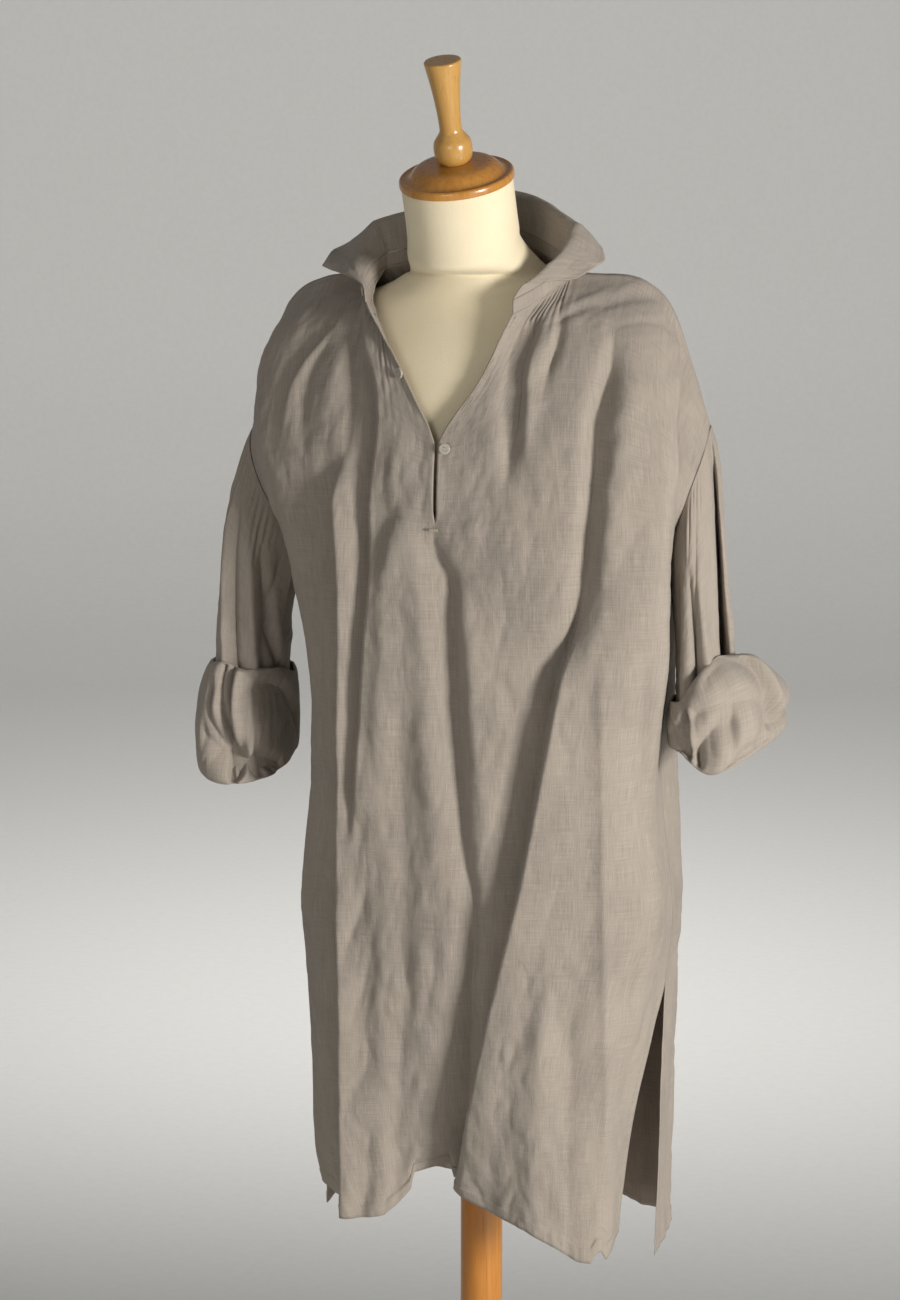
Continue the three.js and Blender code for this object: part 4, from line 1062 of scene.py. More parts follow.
def strip_shell(name, lengths, thickness, waves):
    """The strip as a shell; its points and their directions are kept for the stitches."""
    at = np.linspace(0, 1, STRIP_COLUMNS + 1)
    points = neck_strip(at, lengths)
    quads = grid_quads(np.arange(points.shape[0] * points.shape[1]).reshape(points.shape[:2]))
    outwards = facing(points.reshape(-1, 3), quads).reshape(points.shape)
    u, v = at[None, :] * STRIP_ROUND, np.asarray(lengths)[:, None]
    wave = waves * (hills(u, v, 34, 51) + 0.6 * creases(u, v * 1.2, 26, 52) + 0.3 * hills(u, v, 9, 53))
    points = points + outwards * (wave * ease((v - lengths[0]) / 12))[..., None]
    STRIPS[name] = (points, outwards * (thickness / 2 + THREAD_LIFT))
    return shell(name, points.reshape(-1, 3), quads, thickness, cloth_map(points, 1, 1).reshape(-1, 2))


neckband = strip_shell("neckband_linen", np.linspace(0.2, BAND_HEIGHT, 9), 1.6, waves=0.5)
collar = strip_shell("collar_linen", BAND_HEIGHT + np.linspace(0.3, COLLAR_WIDTH, 40), 1.4, waves=1.1)
for obj in (neckband, collar):
    obj.data.materials.append(LINEN)
    print(obj.name, len(obj.data.polygons), "faces")

# %% [markdown]
# ## The facings of the slit
# Both edges of the slit are covered by a narrow strip, sewn down on each side. It lies on the panel,
# so it is made from the panel's own points, moved out a little, and it puckers between its stitches.
# Near the foot of the slit it lies level with the cloth.

# %% Two narrow strips
FACING_S = 0.056
FACING_ROW = 3.2
FACING_SHOWN = 1.85
FACING_THICKNESS = 0.4
FACING_GRID = (130, 9)
BESIDE_S = 0.01
BESIDE_ROW = 0.03


def face_out(face, side, s, row):
    """The direction that the finished panel faces at a point."""
    s, row = np.broadcast_arrays(np.asarray(s, float), np.asarray(row, float))
    ahead = body(face, side, s + BESIDE_S, row)
    behind = body(face, side, np.maximum(0, s - BESIDE_S), row)
    below = body(face, side, s, row + BESIDE_ROW)
    above = body(face, side, s, np.maximum(0, row - BESIDE_ROW))
    outwards = np.cross(ahead - behind, below - above)
    outwards /= np.linalg.norm(outwards, axis=-1)[..., None]
    forward = -1 if face == "front" else 1
    return np.where((outwards[..., 1] * forward < 0)[..., None], -outwards, outwards)


def facing_strip(side):
    """The strip along one edge of the slit."""
    s = np.linspace(0, FACING_S, FACING_GRID[1])[None, :]
    row = np.linspace(0.02, FACING_ROW, FACING_GRID[0])[:, None]
    swell = np.sin(math.pi * s / FACING_S)
    pucker = (0.2 * np.cos(row * 95) + 0.35 * hills(s * 240, row * 60, 7, 61)) * swell
    over = ease((FACING_S - s) / 0.01) * ease(s / 0.01 + 0.5) * ease((FACING_SHOWN - row) / 0.2)
    proud = mix(0.05, 0.62, over) + pucker * ease((FACING_SHOWN - row) / 0.2)
    points = body("front", side, s, row) + face_out("front", side, s, row) * proud[..., None]
    quads = grid_quads(np.arange(points.shape[0] * points.shape[1]).reshape(points.shape[:2]))
    uv = cloth_map(points, 1, -1).reshape(-1, 2)
    return shell("facing_" + side + "_linen", points.reshape(-1, 3), quads, FACING_THICKNESS, uv)


facings = {side: facing_strip(side) for side in ("left", "right")}
for obj in facings.values():
    obj.data.materials.append(LINEN)

# %% [markdown]
# ## Sleeves
# Each sleeve is a wide straight tube, gathered into a dropped armhole. It bows out from the shoulder
# and hangs. A curve from the armhole over a knee to the lower end gives its line, and a flattened oval
# its section. Long folds run down it, deep and narrow where the spare width closes on itself. One fold
# has a back value: it sinks straight away from the camera, as the dark gap between two folds does.

# %% The hanging tubes
SLEEVES = {
    "left": {"x": 238, "y": 14, "halfX": 25, "halfY": 64, "foot": 1122, "bow": 0.6},
    "right": {"x": -256, "y": -14, "halfX": 30, "halfY": 64, "foot": 1118, "bow": 1.15},
}
SLEEVE_FOLDS = {
    "left": [
        {"turn": -0.05, "drift": -0.02, "back": 52, "width": 0.045, "round": 4.0, "start": -0.06},
        {"turn": -0.14, "drift": -0.04, "depth": 5, "width": 0.05, "round": 1.8, "start": 0.04},
        {"turn": 0.06, "drift": -0.03, "depth": 6, "width": 0.05, "round": 1.8, "start": 0.04},
        {"turn": -0.62, "drift": 0.3, "depth": -11, "width": 0.05, "round": 1.4, "start": 0.3},
        {"turn": -0.52, "drift": 0.3, "depth": 8, "width": 0.06, "round": 1.8, "start": 0.3},
        {"turn": -0.4, "drift": 0.02, "depth": -6, "width": 0.035, "round": 1.4, "start": 0.02},
        {"turn": -0.72, "drift": 0.0, "depth": -11, "width": 0.06, "round": 1.5, "start": 0.06},
        {"turn": 0.14, "drift": 0.05, "depth": -8, "width": 0.06, "round": 1.6, "start": 0.1},
        {"turn": 0.3, "drift": 0.0, "depth": -13, "width": 0.05, "round": 1.5, "start": 0.1},
        {"turn": 0.44, "drift": -0.06, "depth": 7, "width": 0.1, "round": 2.0, "start": 0.1},
        {"turn": 0.62, "drift": 0.04, "depth": -11, "width": 0.06, "round": 1.5, "start": 0.12},
    ],
    "right": [
        {"turn": -0.34, "drift": -0.3, "depth": -9, "width": 0.045, "round": 1.4, "start": 0.0},
        {"turn": -0.24, "drift": -0.24, "depth": 7, "width": 0.05, "round": 1.8, "start": 0.02},
        {"turn": -0.52, "drift": -0.28, "depth": 7, "width": 0.06, "round": 1.8, "start": 0.05},
        {"turn": -0.58, "drift": -0.5, "depth": -10, "width": 0.05, "round": 1.4, "start": 0.12},
        {"turn": -0.74, "drift": -0.34, "depth": 6, "width": 0.06, "round": 1.8, "start": 0.12},
        {"turn": -0.9, "drift": 0.1, "depth": -9, "width": 0.05, "round": 1.4, "start": 0.1},
        {"turn": -0.1, "drift": -0.02, "depth": -9, "width": 0.05, "round": 1.6, "start": 0.04},
        {"turn": 0.06, "drift": 0.04, "depth": -7, "width": 0.05, "round": 1.6, "start": 0.1},
        {"turn": 0.3, "drift": -0.04, "depth": -13, "width": 0.06, "round": 1.6, "start": 0.1},
        {"turn": 0.46, "drift": 0.0, "depth": 6, "width": 0.1, "round": 2.0, "start": 0.1},
        {"turn": 0.64, "drift": 0.05, "depth": -10, "width": 0.07, "round": 1.6, "start": 0.14},
    ],
}
OVAL_SQUARE = 2.4
TUCKED_IN = 40
PLEAT_DEPTH = 5.0
KNEE_DROP = 88
SLEEVE_GRID = (96, 200)


def oval_radius(cos, sin, square):
    """The radius of a rounded square at one direction, where a circle would have 1."""
    return (np.abs(cos) ** square + np.abs(sin) ** square) ** (-1 / square)


def sleeve_oval(side, turn, grow, shift=0.0):
    """Plan points round the sleeve: turn is 0 on the outer side, negative in front, 1 inside."""
    tube_at = SLEEVES[side]
    out = 1 if side == "left" else -1
    cos, sin = np.cos(np.pi * turn), np.sin(np.pi * turn)
    radius = oval_radius(cos, sin, OVAL_SQUARE)
    x = tube_at["x"] + out * ((tube_at["halfX"] + grow) * cos * radius + shift)
    return x, tube_at["y"] + (tube_at["halfY"] + grow) * sin * radius


def round_gap(turn, place):
    """How far apart two places round the sleeve are, the shorter way."""
    return np.abs((turn - place + 1) % 2 - 1)


def sleeve_point(side, turn, t):
    """Points of a sleeve: t goes from the armhole to the end that is tucked into the roll."""
    out = 1 if side == "left" else -1
    row = UNDERARM_ROW * np.abs(turn)
    head = np.where(
        (turn < 0)[..., None],
        body("front", side, 1 + 0 * turn, row, fine=False),
        body("back", side, 1 + 0 * turn, row, fine=False),
    )
    head[..., 0] += out * 0.6
    wobble = 0
    back = 0
    for fold in SLEEVE_FOLDS[side]:
        gap = round_gap(turn, fold["turn"] + fold["drift"] * t)
        fade = ease((t - fold["start"]) / 0.3) * ease((1.04 - t) / 0.2)
        flank = np.exp(-((gap / fold["width"]) ** fold["round"])) * fade
        wobble = wobble + fold.get("depth", 0) * flank
        back = back + fold.get("back", 0) * flank
    seed = 71 if side == "left" else 75
    phase = 34 * math.pi * turn + 2.5 * hills(turn * 30, 0 * turn, 5, seed)
    length = 0.3 + 0.12 * hills(turn * 30, 0 * turn, 3, seed + 1)
    pleat = PLEAT_DEPTH * np.cos(phase) * ease(t / 0.07) * ease((length - t) / 0.22)
    pleat = pleat * ease((0.85 - np.abs(turn)) / 0.2)
    girth = turn * 120
    inside = ease((1 - np.abs(turn)) / 0.08)
    rumple = 1.4 * hills(girth, t * 90, 30, seed + 2) + 1.3 * creases(girth, t * 150, 28, seed + 3)
    rumple = rumple + 0.6 * creases(girth, t * 200, 12, seed + 6)
    x, y = sleeve_oval(side, turn, wobble + (pleat + rumple * inside) * ease(t / 0.05))
    x, y = x - back * math.sin(VIEW), y + back * math.cos(VIEW)
    end = np.stack([x, y, SLEEVES[side]["foot"] - TUCKED_IN + 0 * x], -1)
    bow = SLEEVES[side]["bow"]
    knee = np.stack([mix(head[..., 0], x, bow), mix(head[..., 1], y, 0.8), head[..., 2] - KNEE_DROP], -1)
    t = t[..., None]
    return head * (1 - t) ** 2 + knee * 2 * t * (1 - t) + end * t**2


def tube(name, points, thickness, uv):
    """A shell round a grid whose last column meets its first."""
    quads = ring_quads(np.arange(points.shape[0] * points.shape[1]).reshape(points.shape[:2]))
    return shell(name, points.reshape(-1, 3), quads, thickness, uv.reshape(-1, 2))


sleeves = {}
for side in ("left", "right"):
    turn = np.linspace(-1, 1, SLEEVE_GRID[1], endpoint=False)[None, :]
    t = np.linspace(0, 1, SLEEVE_GRID[0])[:, None] ** 1.1
    turn, t = np.broadcast_arrays(turn, t)
    points = sleeve_point(side, turn, t)
    sleeves[side] = tube("sleeve_" + side + "_linen", points, CLOTH, cloth_map(points, 1, -1))
    sleeves[side].data.materials.append(LINEN)
    print(sleeves[side].name, len(sleeves[side].data.polygons), "faces")

# %% [markdown]
# ## Rolled cuffs
# The ends of the sleeves are turned up two or three times into thick soft rolls. A roll is one sheet
# that runs down inside the sleeve, turns round at the foot and comes up outside it. Its creases are
# placed on the outer side, where each turn of the cloth ends and where it twists.

# %% The rolls
ROLL = [
    {"ring": 0, "grow": -1.8, "height": 0.75},
    {"ring": 1, "grow": -3, "height": 0.6},
    {"ring": 2, "grow": -4, "height": 0.3},
    {"ring": 3, "grow": 0, "height": 0.08},
    {"ring": 4, "grow": 10, "height": 0},
    {"ring": 5, "grow": 18, "height": 0.06},
    {"ring": 6, "grow": 21.5, "height": 0.26},
    {"ring": 7, "grow": 21, "height": 0.56},
    {"ring": 8, "grow": 16, "height": 0.86},
    {"ring": 9, "grow": 8.5, "height": 1.06},
    {"ring": 10, "grow": 3, "height": 1.1},
]
roll_at = reader(ROLL, "ring")
# The upper and lower edge of each roll, in millimetres over the floor, and how far it stands out.
ROLL_EDGES = {
    "left": [
        {"turn": -0.75, "top": 1104, "foot": 1056, "out": 0.35},
        {"turn": -0.6, "top": 1108, "foot": 1053, "out": 0.45},
        {"turn": -0.5, "top": 1122, "foot": 1046, "out": 0.6},
        {"turn": -0.42, "top": 1132, "foot": 1039, "out": 0.75},
        {"turn": -0.33, "top": 1141, "foot": 1034, "out": 0.9},
        {"turn": -0.2, "top": 1150, "foot": 1040, "out": 1.1},
        {"turn": -0.02, "top": 1148, "foot": 1050, "out": 1.5},
        {"turn": 0.12, "top": 1140, "foot": 1058, "out": 1.7},
        {"turn": 0.25, "top": 1130, "foot": 1060, "out": 1.8},
        {"turn": 0.45, "top": 1122, "foot": 1046, "out": 0.9},
        {"turn": 0.7, "top": 1110, "foot": 1040, "out": 0.4},
        {"turn": 1.0, "top": 1100, "foot": 1048, "out": 0.25},
    ],
    "right": [
        {"turn": -1.2, "top": 1096, "foot": 1008, "out": 0.3},
        {"turn": -1.0, "top": 1106, "foot": 998, "out": 0.3},
        {"turn": -0.75, "top": 1110, "foot": 994, "out": 0.45},
        {"turn": -0.6, "top": 1115, "foot": 992, "out": 0.7},
        {"turn": -0.4, "top": 1120, "foot": 992, "out": 0.95},
        {"turn": -0.3, "top": 1118, "foot": 994, "out": 0.95},
        {"turn": -0.1, "top": 1114, "foot": 995, "out": 0.95},
        {"turn": 0.15, "top": 1116, "foot": 994, "out": 0.9},
        {"turn": 0.45, "top": 1112, "foot": 1002, "out": 0.8},
    ],
}
# A crease of a roll, in 200ths of half a turn round it, and in tenths of a ring up it.
ROLL_FOLDS = {
    "left": [
        {"depth": 8, "under": -13, "left": 16, "right": 13, "round": 1.5, "edge": 5, "fade": 9,
         "path": [[-8, 94], [-4, 84], [-2, 74], [5, 60]]},
        {"depth": -9, "left": 4, "right": 4, "round": 1.3, "fade": 10,
         "path": [[-8, 60], [12, 61], [30, 62], [52, 64]]},
        {"depth": -6, "left": 9, "right": 4, "round": 1.3, "fade": 16,
         "path": [[-112, 72], [-84, 76], [-53, 75], [-16, 71], [4, 63]]},
        {"depth": -10, "left": 10, "right": 4, "round": 1.4, "fade": 8,
         "path": [[-106, 55], [-96, 59], [-85, 64], [-68, 69], [-46, 68]]},
        {"depth": 4, "under": -12, "left": 26, "right": 14, "round": 1.7, "edge": 5, "fade": 9,
         "path": [[-112, 84], [-108, 75], [-105, 62], [-100, 42]]},
        {"depth": -12, "left": 4, "right": 5, "round": 1.3, "fade": 8,
         "path": [[-98, 60], [-92, 51], [-82, 44]]},
        {"depth": -6, "left": 3, "right": 5, "round": 1.3, "fade": 9,
         "path": [[-60, 44], [-45, 49], [-21, 50], [0, 53]]},
        {"depth": -6, "left": 4, "right": 6, "round": 1.4, "fade": 12,
         "path": [[-52, 50], [-40, 56], [-24, 57], [-6, 58]]},
        {"depth": -5, "left": 4, "right": 8, "round": 1.5, "fade": 14,
         "path": [[-84, 87], [-48, 90], [-19, 86], [-6, 80]]},
        {"depth": 4, "left": 9, "right": 9, "round": 1.8, "fade": 16,
         "path": [[-76, 62], [-48, 62], [-18, 61]]},
        {"depth": -9, "left": 5, "right": 7, "round": 1.4, "fade": 14,
         "path": [[96, 98], [104, 78], [120, 58]]},
        {"depth": -9, "left": 5, "right": 7, "round": 1.4, "fade": 14,
         "path": [[70, 94], [96, 74], [128, 66]]},
    ],
    "right": [
        {"depth": 6, "under": -9, "left": 12, "right": 34, "round": 1.5, "edge": 4, "fade": 7,
         "path": [[-146, 58], [-132, 60], [-121, 64], [-115, 72], [-116, 82], [-124, 100]]},
        {"depth": -9, "left": 4, "right": 5, "round": 1.3, "fade": 9,
         "path": [[-102, 98], [-98, 78], [-112, 67], [-138, 58]]},
        {"depth": -9, "left": 4, "right": 5, "round": 1.3, "fade": 9,
         "path": [[-84, 86], [-82, 72], [-101, 63], [-136, 57]]},
        {"depth": -9, "left": 4, "right": 5, "round": 1.3, "fade": 9,
         "path": [[-66, 68], [-92, 61], [-112, 58], [-138, 57]]},
        {"depth": -9, "left": 10, "right": 4, "round": 1.3, "fade": 12,
         "path": [[-250, 64], [-207, 78], [-174, 83], [-138, 80], [-120, 74]]},
        {"depth": -14, "left": 4, "right": 4, "round": 1.3, "fade": 7,
         "path": [[-136, 59], [-145, 52], [-162, 46]]},
        {"depth": -13, "left": 4, "right": 4, "round": 1.3, "fade": 7,
         "path": [[-140, 59], [-167, 56], [-195, 47]]},
        {"depth": -8, "left": 3, "right": 3, "round": 1.3, "fade": 7,
         "path": [[-139, 58], [-158, 54], [-180, 46]]},
        {"depth": -14, "left": 5, "right": 5, "round": 1.5, "fade": 4,
         "path": [[-106, 49], [-118, 54]]},
        {"depth": 5, "under": -6, "left": 12, "right": 12, "round": 1.5, "edge": 4, "fade": 6,
         "path": [[-116, 40], [-130, 50], [-140, 58]]},
        {"depth": -4, "left": 5, "right": 9, "round": 1.5, "fade": 14,
         "path": [[-207, 67], [-188, 75], [-157, 77], [-137, 72]]},
        {"depth": -5, "left": 5, "right": 7, "round": 1.5, "fade": 14,
         "path": [[-164, 63], [-193, 64], [-226, 66]]},
        {"depth": -9, "left": 5, "right": 7, "round": 1.4, "fade": 14,
         "path": [[0, 98], [6, 78], [24, 58]]},
        {"depth": -9, "left": 5, "right": 7, "round": 1.4, "fade": 14,
         "path": [[-20, 90], [0, 72], [44, 62]]},
    ],
}
TURN_STEPS = 200
RING_STEPS = 10
ROLL_SHIFT = {"left": 20, "right": 4}
ROLL_THICKNESS = 1.5
ROLL_FREE = 3.2
ROLL_COLUMNS = 220
INNER_RINGS = np.linspace(0, 3.5, 14, endpoint=False)
OUTER_RINGS = np.linspace(3.5, 10, 92)
CRUMPLE_ROUND = 62
# A roll's tables start at this turn and go once round.
TABLE_START = -1.4


def roll_point(side, turn, ring):
    """Points of a roll: turn goes round the sleeve, ring from its inner end over the foot to its rim."""
    cross = roll_at(ring)
    turn = (turn - TABLE_START) % 2 + TABLE_START
    table = sorted(ROLL_EDGES[side], key=lambda row: row["turn"])
    before = {**table[-1], "turn": table[-1]["turn"] - 2}
    after = {**table[0], "turn": table[0]["turn"] + 2}
    edge = reader([before, *table, after], "turn")(turn)
    outer = ease((ring - 2) / 4)
    free = np.where(ring > 4, ROLL_FREE, 0)
    seed = 91 if side == "left" else 95
    u = CRUMPLE_ROUND * np.cos(np.pi * turn) + ring * 8
    v = CRUMPLE_ROUND * np.sin(np.pi * turn) - ring * 8
    crush = folded(ROLL_FOLDS[side], turn * TURN_STEPS, ring * RING_STEPS) * ease((ring - 3.5) / 1)
    crush = crush + (1.8 * hills(u, v, 36, seed) + 1.6 * creases(u, v, 34, seed + 1)) * outer
    crush = crush + 0.6 * creases(u, v, 12, seed + 2)
    shift = ROLL_SHIFT[side] * outer * (0.5 + 0.5 * np.cos(np.pi * turn)) * (1 - 0.8 * ease((ring - 7) / 3))
    x, y = sleeve_oval(side, turn, free + (cross["grow"] - free) * edge["out"] + crush, shift)
    z = mix(edge["foot"], edge["top"], cross["height"] / ROLL[-1]["height"])
    return np.stack([x, y, z + (2.5 * hills(u, v, 24, seed + 3)) * outer], -1)


rolls = {}
for side in ("left", "right"):
    turn = np.linspace(-1, 1, ROLL_COLUMNS, endpoint=False)[None, :]
    ring = np.concatenate([INNER_RINGS, OUTER_RINGS])[:, None]
    points = roll_point(side, *np.broadcast_arrays(turn, ring))
    rolls[side] = tube("cuff_roll_" + side + "_linen", points, ROLL_THICKNESS, cloth_map(points, 1, -1))
    rolls[side].data.materials.append(LINEN)
    print(rolls[side].name, len(rolls[side].data.polygons), "faces")

# %% [markdown]
# ## The dress form
# Under the shirt stands a bust form covered in cream knit, with no arms. A bought form is a padded
# shell, but only its outside matters here, so it is one smooth loft through oval sections that end in
# a leaning neck. The same sections as in the model are used, with many more sides.

# %% The form
NECK_FOOT = (-3, -30, 1512)
NECK_LENGTH = 114
NECK_RINGS = ((44, 58.5), (62, 56.5), (90, 56), (NECK_LENGTH - 1, 56), (NECK_LENGTH, 55))
FORM_HEIGHTS = [868, 870, 874, 880, *range(900, 1400, 20), *range(1400, 1532, 8), 1532]
FORM_SIDES = 96
BLENDED = 8
BLENDED_FINE = 36
neck_frame = np.array(Matrix.Translation(NECK_FOOT) @ Matrix.Rotation(NECK_LEAN, 4, "X"))


def on_neck(points):
    """Points of the neck's own upright frame, put where the neck leans."""
    points = np.asarray(points, float)
    return points @ neck_frame[:3, :3].T + neck_frame[:3, 3]


def capped(name, rings):
    """A closed body through rings of points, with a flat fan at each end."""
    count, sides = rings.shape[:2]
    ids = np.arange(count * sides).reshape(count, sides)
    quads = ring_quads(ids)
    points = np.concatenate([rings.reshape(-1, 3), rings[0].mean(0)[None], rings[-1].mean(0)[None]])
    first, last = ids[0], ids[-1]
    foot = first * 0 + count * sides
    low = np.stack([np.roll(first, -1), first, foot], 1)
    high = np.stack([last, np.roll(last, -1), foot + 1], 1)
    return new_object(name, points, [*quads.tolist(), *low.tolist(), *high.tolist()])


angle = np.linspace(0, 2 * math.pi, FORM_SIDES, endpoint=False)
cos, sin = np.cos(angle), np.sin(angle)
rings = []
for z in FORM_HEIGHTS:
    oval = form_at(float(z))
    radius = oval_radius(cos, sin, oval["square"])
    deep = np.where(sin < 0, oval["front"], oval["back"])
    level = 0 * angle + z + FORM_TOP_OFFSET
    rings.append(np.stack([oval["half"] * cos * radius, deep * sin * radius, level], 1))
for along, radius in NECK_RINGS:
    rings.append(on_neck(np.stack([radius * cos, radius * sin, 0 * angle + along], 1)))
# The shoulders run into the neck through finer rings, drawn as a smooth curve through the last few.
last = [ring.ravel() for ring in rings[-BLENDED:]]
smooth = hermite(range(BLENDED), last, np.linspace(0, BLENDED - 1, BLENDED_FINE))
smooth = smooth.reshape(BLENDED_FINE, FORM_SIDES, 3)
dress_form = capped("form_body", np.concatenate([np.array(rings[:-BLENDED]), smooth]))
dress_form.data.materials.append(FORM_COVER)
print("form:", len(dress_form.data.polygons), "faces")

# %% [markdown]
# ## Turned wood
# The cap, the finial, the pole and the base are turned on a lathe, so each is a profile of radii and
# heights, swept round. A spline rounds the profile, and two points close together keep a corner.

# %% The lathe
FINIAL_FOOT = NECK_LENGTH + 21.3
CAP_PROFILE = [
    [52, 0.3], [54, 0.3], [57.5, 1.5], [58, 4], [57.4, 8], [55.6, 9.4], [53.6, 8.8], [51.4, 8.7],
    [47.5, 10.6], [43, 15.4], [38, 18.8], [32, 20.2], [31, 20.2], [17, 21], [4, 21.2],
]
FINIAL_PROFILE = [
    [4, 0], [14, 0], [15, 0.6], [18.2, 5], [19.4, 13], [18.4, 22], [13.6, 29], [11.4, 33], [11.2, 40],
    [11.8, 52], [14.6, 78], [18.2, 100], [18.6, 103], [17.4, 104.5], [4, 104.6],
]
BASE_PROFILE = [
    [20, 0], [196, 0], [199, 1.5], [200, 5], [200, 15], [197.5, 18.5], [190, 20], [96, 23], [60, 24],
    [44, 25], [36, 26.5], [34, 28], [10, 28],
]
POLE_PROFILE = [
    [10, 28.3], [21.8, 28.3], [22.5, 29.2], [22.5, 200], [22.5, 500], [22.5, 864], [21.8, 865.2],
    [10, 865.3],
]
PROFILE_STEPS = 5


def lathe(name, profile, sides, material, lift=0.0, lean=False):
    """A turned piece; with lean it stands on the neck's own axis."""
    profile = np.array(profile, float) + [0, lift]
    reach = np.concatenate([[0], np.cumsum(np.hypot(*np.diff(profile, axis=0).T))])
    stops = zip(reach[:-1], reach[1:])
    at = np.concatenate([np.linspace(start, end, PROFILE_STEPS, endpoint=False) for start, end in stops])
    fine = hermite(reach, profile, np.append(at, reach[-1]))
    turn = np.linspace(0, 2 * math.pi, sides, endpoint=False)
    rings = np.stack([fine[:, :1] * np.cos(turn), fine[:, :1] * np.sin(turn), fine[:, 1:] + 0 * turn], -1)
    obj = capped(name, on_neck(rings) if lean else rings)
    obj.data.materials.append(material)
    print(name, len(obj.data.polygons), "faces")
    return obj


neck_cap = lathe("cap_turned", CAP_PROFILE, 96, CAP_WOOD, NECK_LENGTH, lean=True)
finial = lathe("finial_turned", FINIAL_PROFILE, 64, FINIAL_WOOD, FINIAL_FOOT, lean=True)
pole = lathe("pole_turned", POLE_PROFILE, 64, POLE_WOOD)
base = lathe("base_turned", BASE_PROFILE, 128, BASE_WOOD)

# %% [markdown]
# ## Stitches
# Hand sewing shows as a row of short threads, sunk a little into the cloth. Setting two thousand of
# them by hand would be slow, and a painted line would look flat in a close view. So Geometry Nodes do it:
# each seam is given as a line of points on the cloth, and the tree walks along it at one pitch,
# sets a small rounded thread at each step, turned along the line, and varies their lengths a little.

# %% A tree that sews
STITCH = {"Pitch": 3.3 * MM, "Length": 1.15 * MM, "Thickness": 0.24 * MM, "Seed": 7}


def sewing_tree():
    """The tree and the identifiers of its named inputs."""
    tree = bpy.data.node_groups.new("sew_along_lines", "GeometryNodeTree")
    tree.interface.new_socket("Geometry", in_out="INPUT", socket_type="NodeSocketGeometry")
    names = {}
    for name in STITCH:
        kind = "NodeSocketInt" if name == "Seed" else "NodeSocketFloat"
        names[name] = tree.interface.new_socket(name, in_out="INPUT", socket_type=kind).identifier
    tree.interface.new_socket("Geometry", in_out="OUTPUT", socket_type="NodeSocketGeometry")

    def node(kind, settings=None, **sockets):
        made = tree.nodes.new(kind)
        for key, value in (settings or {}).items():
            setattr(made, key, value)
        for key, value in sockets.items():
            place = int(key[1:]) if key[0] == "i" and key[1:].isdigit() else key.replace("_", " ")
            if isinstance(value, bpy.types.NodeSocket):
                tree.links.new(value, made.inputs[place])
            else:
                made.inputs[place].default_value = value
        return made

    given = node("NodeGroupInput").outputs
    line = node("GeometryNodeMeshToCurve", Mesh=given["Geometry"]).outputs[0]
    even = {"mode": "LENGTH"}
    line = node("GeometryNodeResampleCurve", even, Curve=line, Length=given["Pitch"]).outputs[0]
    number = {"data_type": "FLOAT"}
    uneven = node("FunctionNodeRandomValue", number, i2=0.8, i3=1.1, Seed=given["Seed"]).outputs[1]
    long = node("ShaderNodeMath", {"operation": "MULTIPLY"}, i0=uneven, i1=given["Length"]).outputs[0]
    size = node("ShaderNodeCombineXYZ", X=long, Y=given["Thickness"], Z=given["Thickness"]).outputs[0]
    tangent = node("GeometryNodeInputTangent").outputs[0]
    turn = node("FunctionNodeAlignRotationToVector", {"axis": "X"}, Vector=tangent).outputs[0]
    thread = node("GeometryNodeMeshUVSphere", Segments=6, Rings=4, Radius=1.0).outputs[0]
    sewn = node("GeometryNodeInstanceOnPoints", Points=line, Instance=thread, Rotation=turn, Scale=size)
    real = node("GeometryNodeRealizeInstances", Geometry=sewn.outputs[0]).outputs[0]
    done = node("GeometryNodeSetMaterial", Geometry=real, Material=THREAD).outputs[0]
    tree.links.new(done, tree.nodes.new("NodeGroupOutput").inputs[0])
    return tree, names


def sew(name, lines, **sizes):
    """Stitches along lines of points, as one plain mesh."""
    tree, names = SEWING
    count = np.cumsum([0] + [len(line) for line in lines])
    edges = [(i, i + 1) for start, end in zip(count[:-1], count[1:]) for i in range(start, end - 1)]
    guide = bpy.data.meshes.new(name)
    guide.from_pydata((np.concatenate(lines) * MM).tolist(), edges, [])
    obj = bpy.data.objects.new(name, guide)
    bpy.context.scene.collection.objects.link(obj)
    modifier = obj.modifiers.new("sewing", "NODES")
    modifier.node_group = tree
    for key, value in {**STITCH, **sizes}.items():
        modifier[names[key]] = value
    graph = bpy.context.evaluated_depsgraph_get()
    graph.update()
    mesh = bpy.data.meshes.new_from_object(obj.evaluated_get(graph), depsgraph=graph)
    obj.modifiers.remove(modifier)
    obj.data = mesh
    mesh.shade_smooth()
    bpy.data.meshes.remove(guide)
    print(name, "along", len(lines), "lines,", len(mesh.polygons), "faces")
    return obj


SEWING = sewing_tree()

# %% [markdown]
# ## Where the shirt is sewn
# The hems and vents, the shoulders, the armholes, the facings, the neckband and the collar's edges
# each have their row. Every row is read from the cloth it lies on and set on the cloth's face.

# %% The rows of stitches
SURFACE = CLOTH / 2 + THREAD_LIFT
HEM_STITCH_ROW = LAST_ROW + 0.03
VENT_STITCH = 0.968
SEAM_STITCH = 0.978
NECK_STITCH_ROW = 0.07
# Along the slit's edge and along the facing's outer edge: the place across, and the lift.
FACING_STITCHES = ((0.007, 0.95), (FACING_S - 0.005, 0.7))


def on_panel(face, side, s, row, lift=SURFACE):
    """Points on the outer face of a panel, lifted by the given millimetres."""
    s, row = np.broadcast_arrays(np.asarray(s, float), np.asarray(row, float))
    return body(face, side, s, row) + face_out(face, side, s, row) * lift


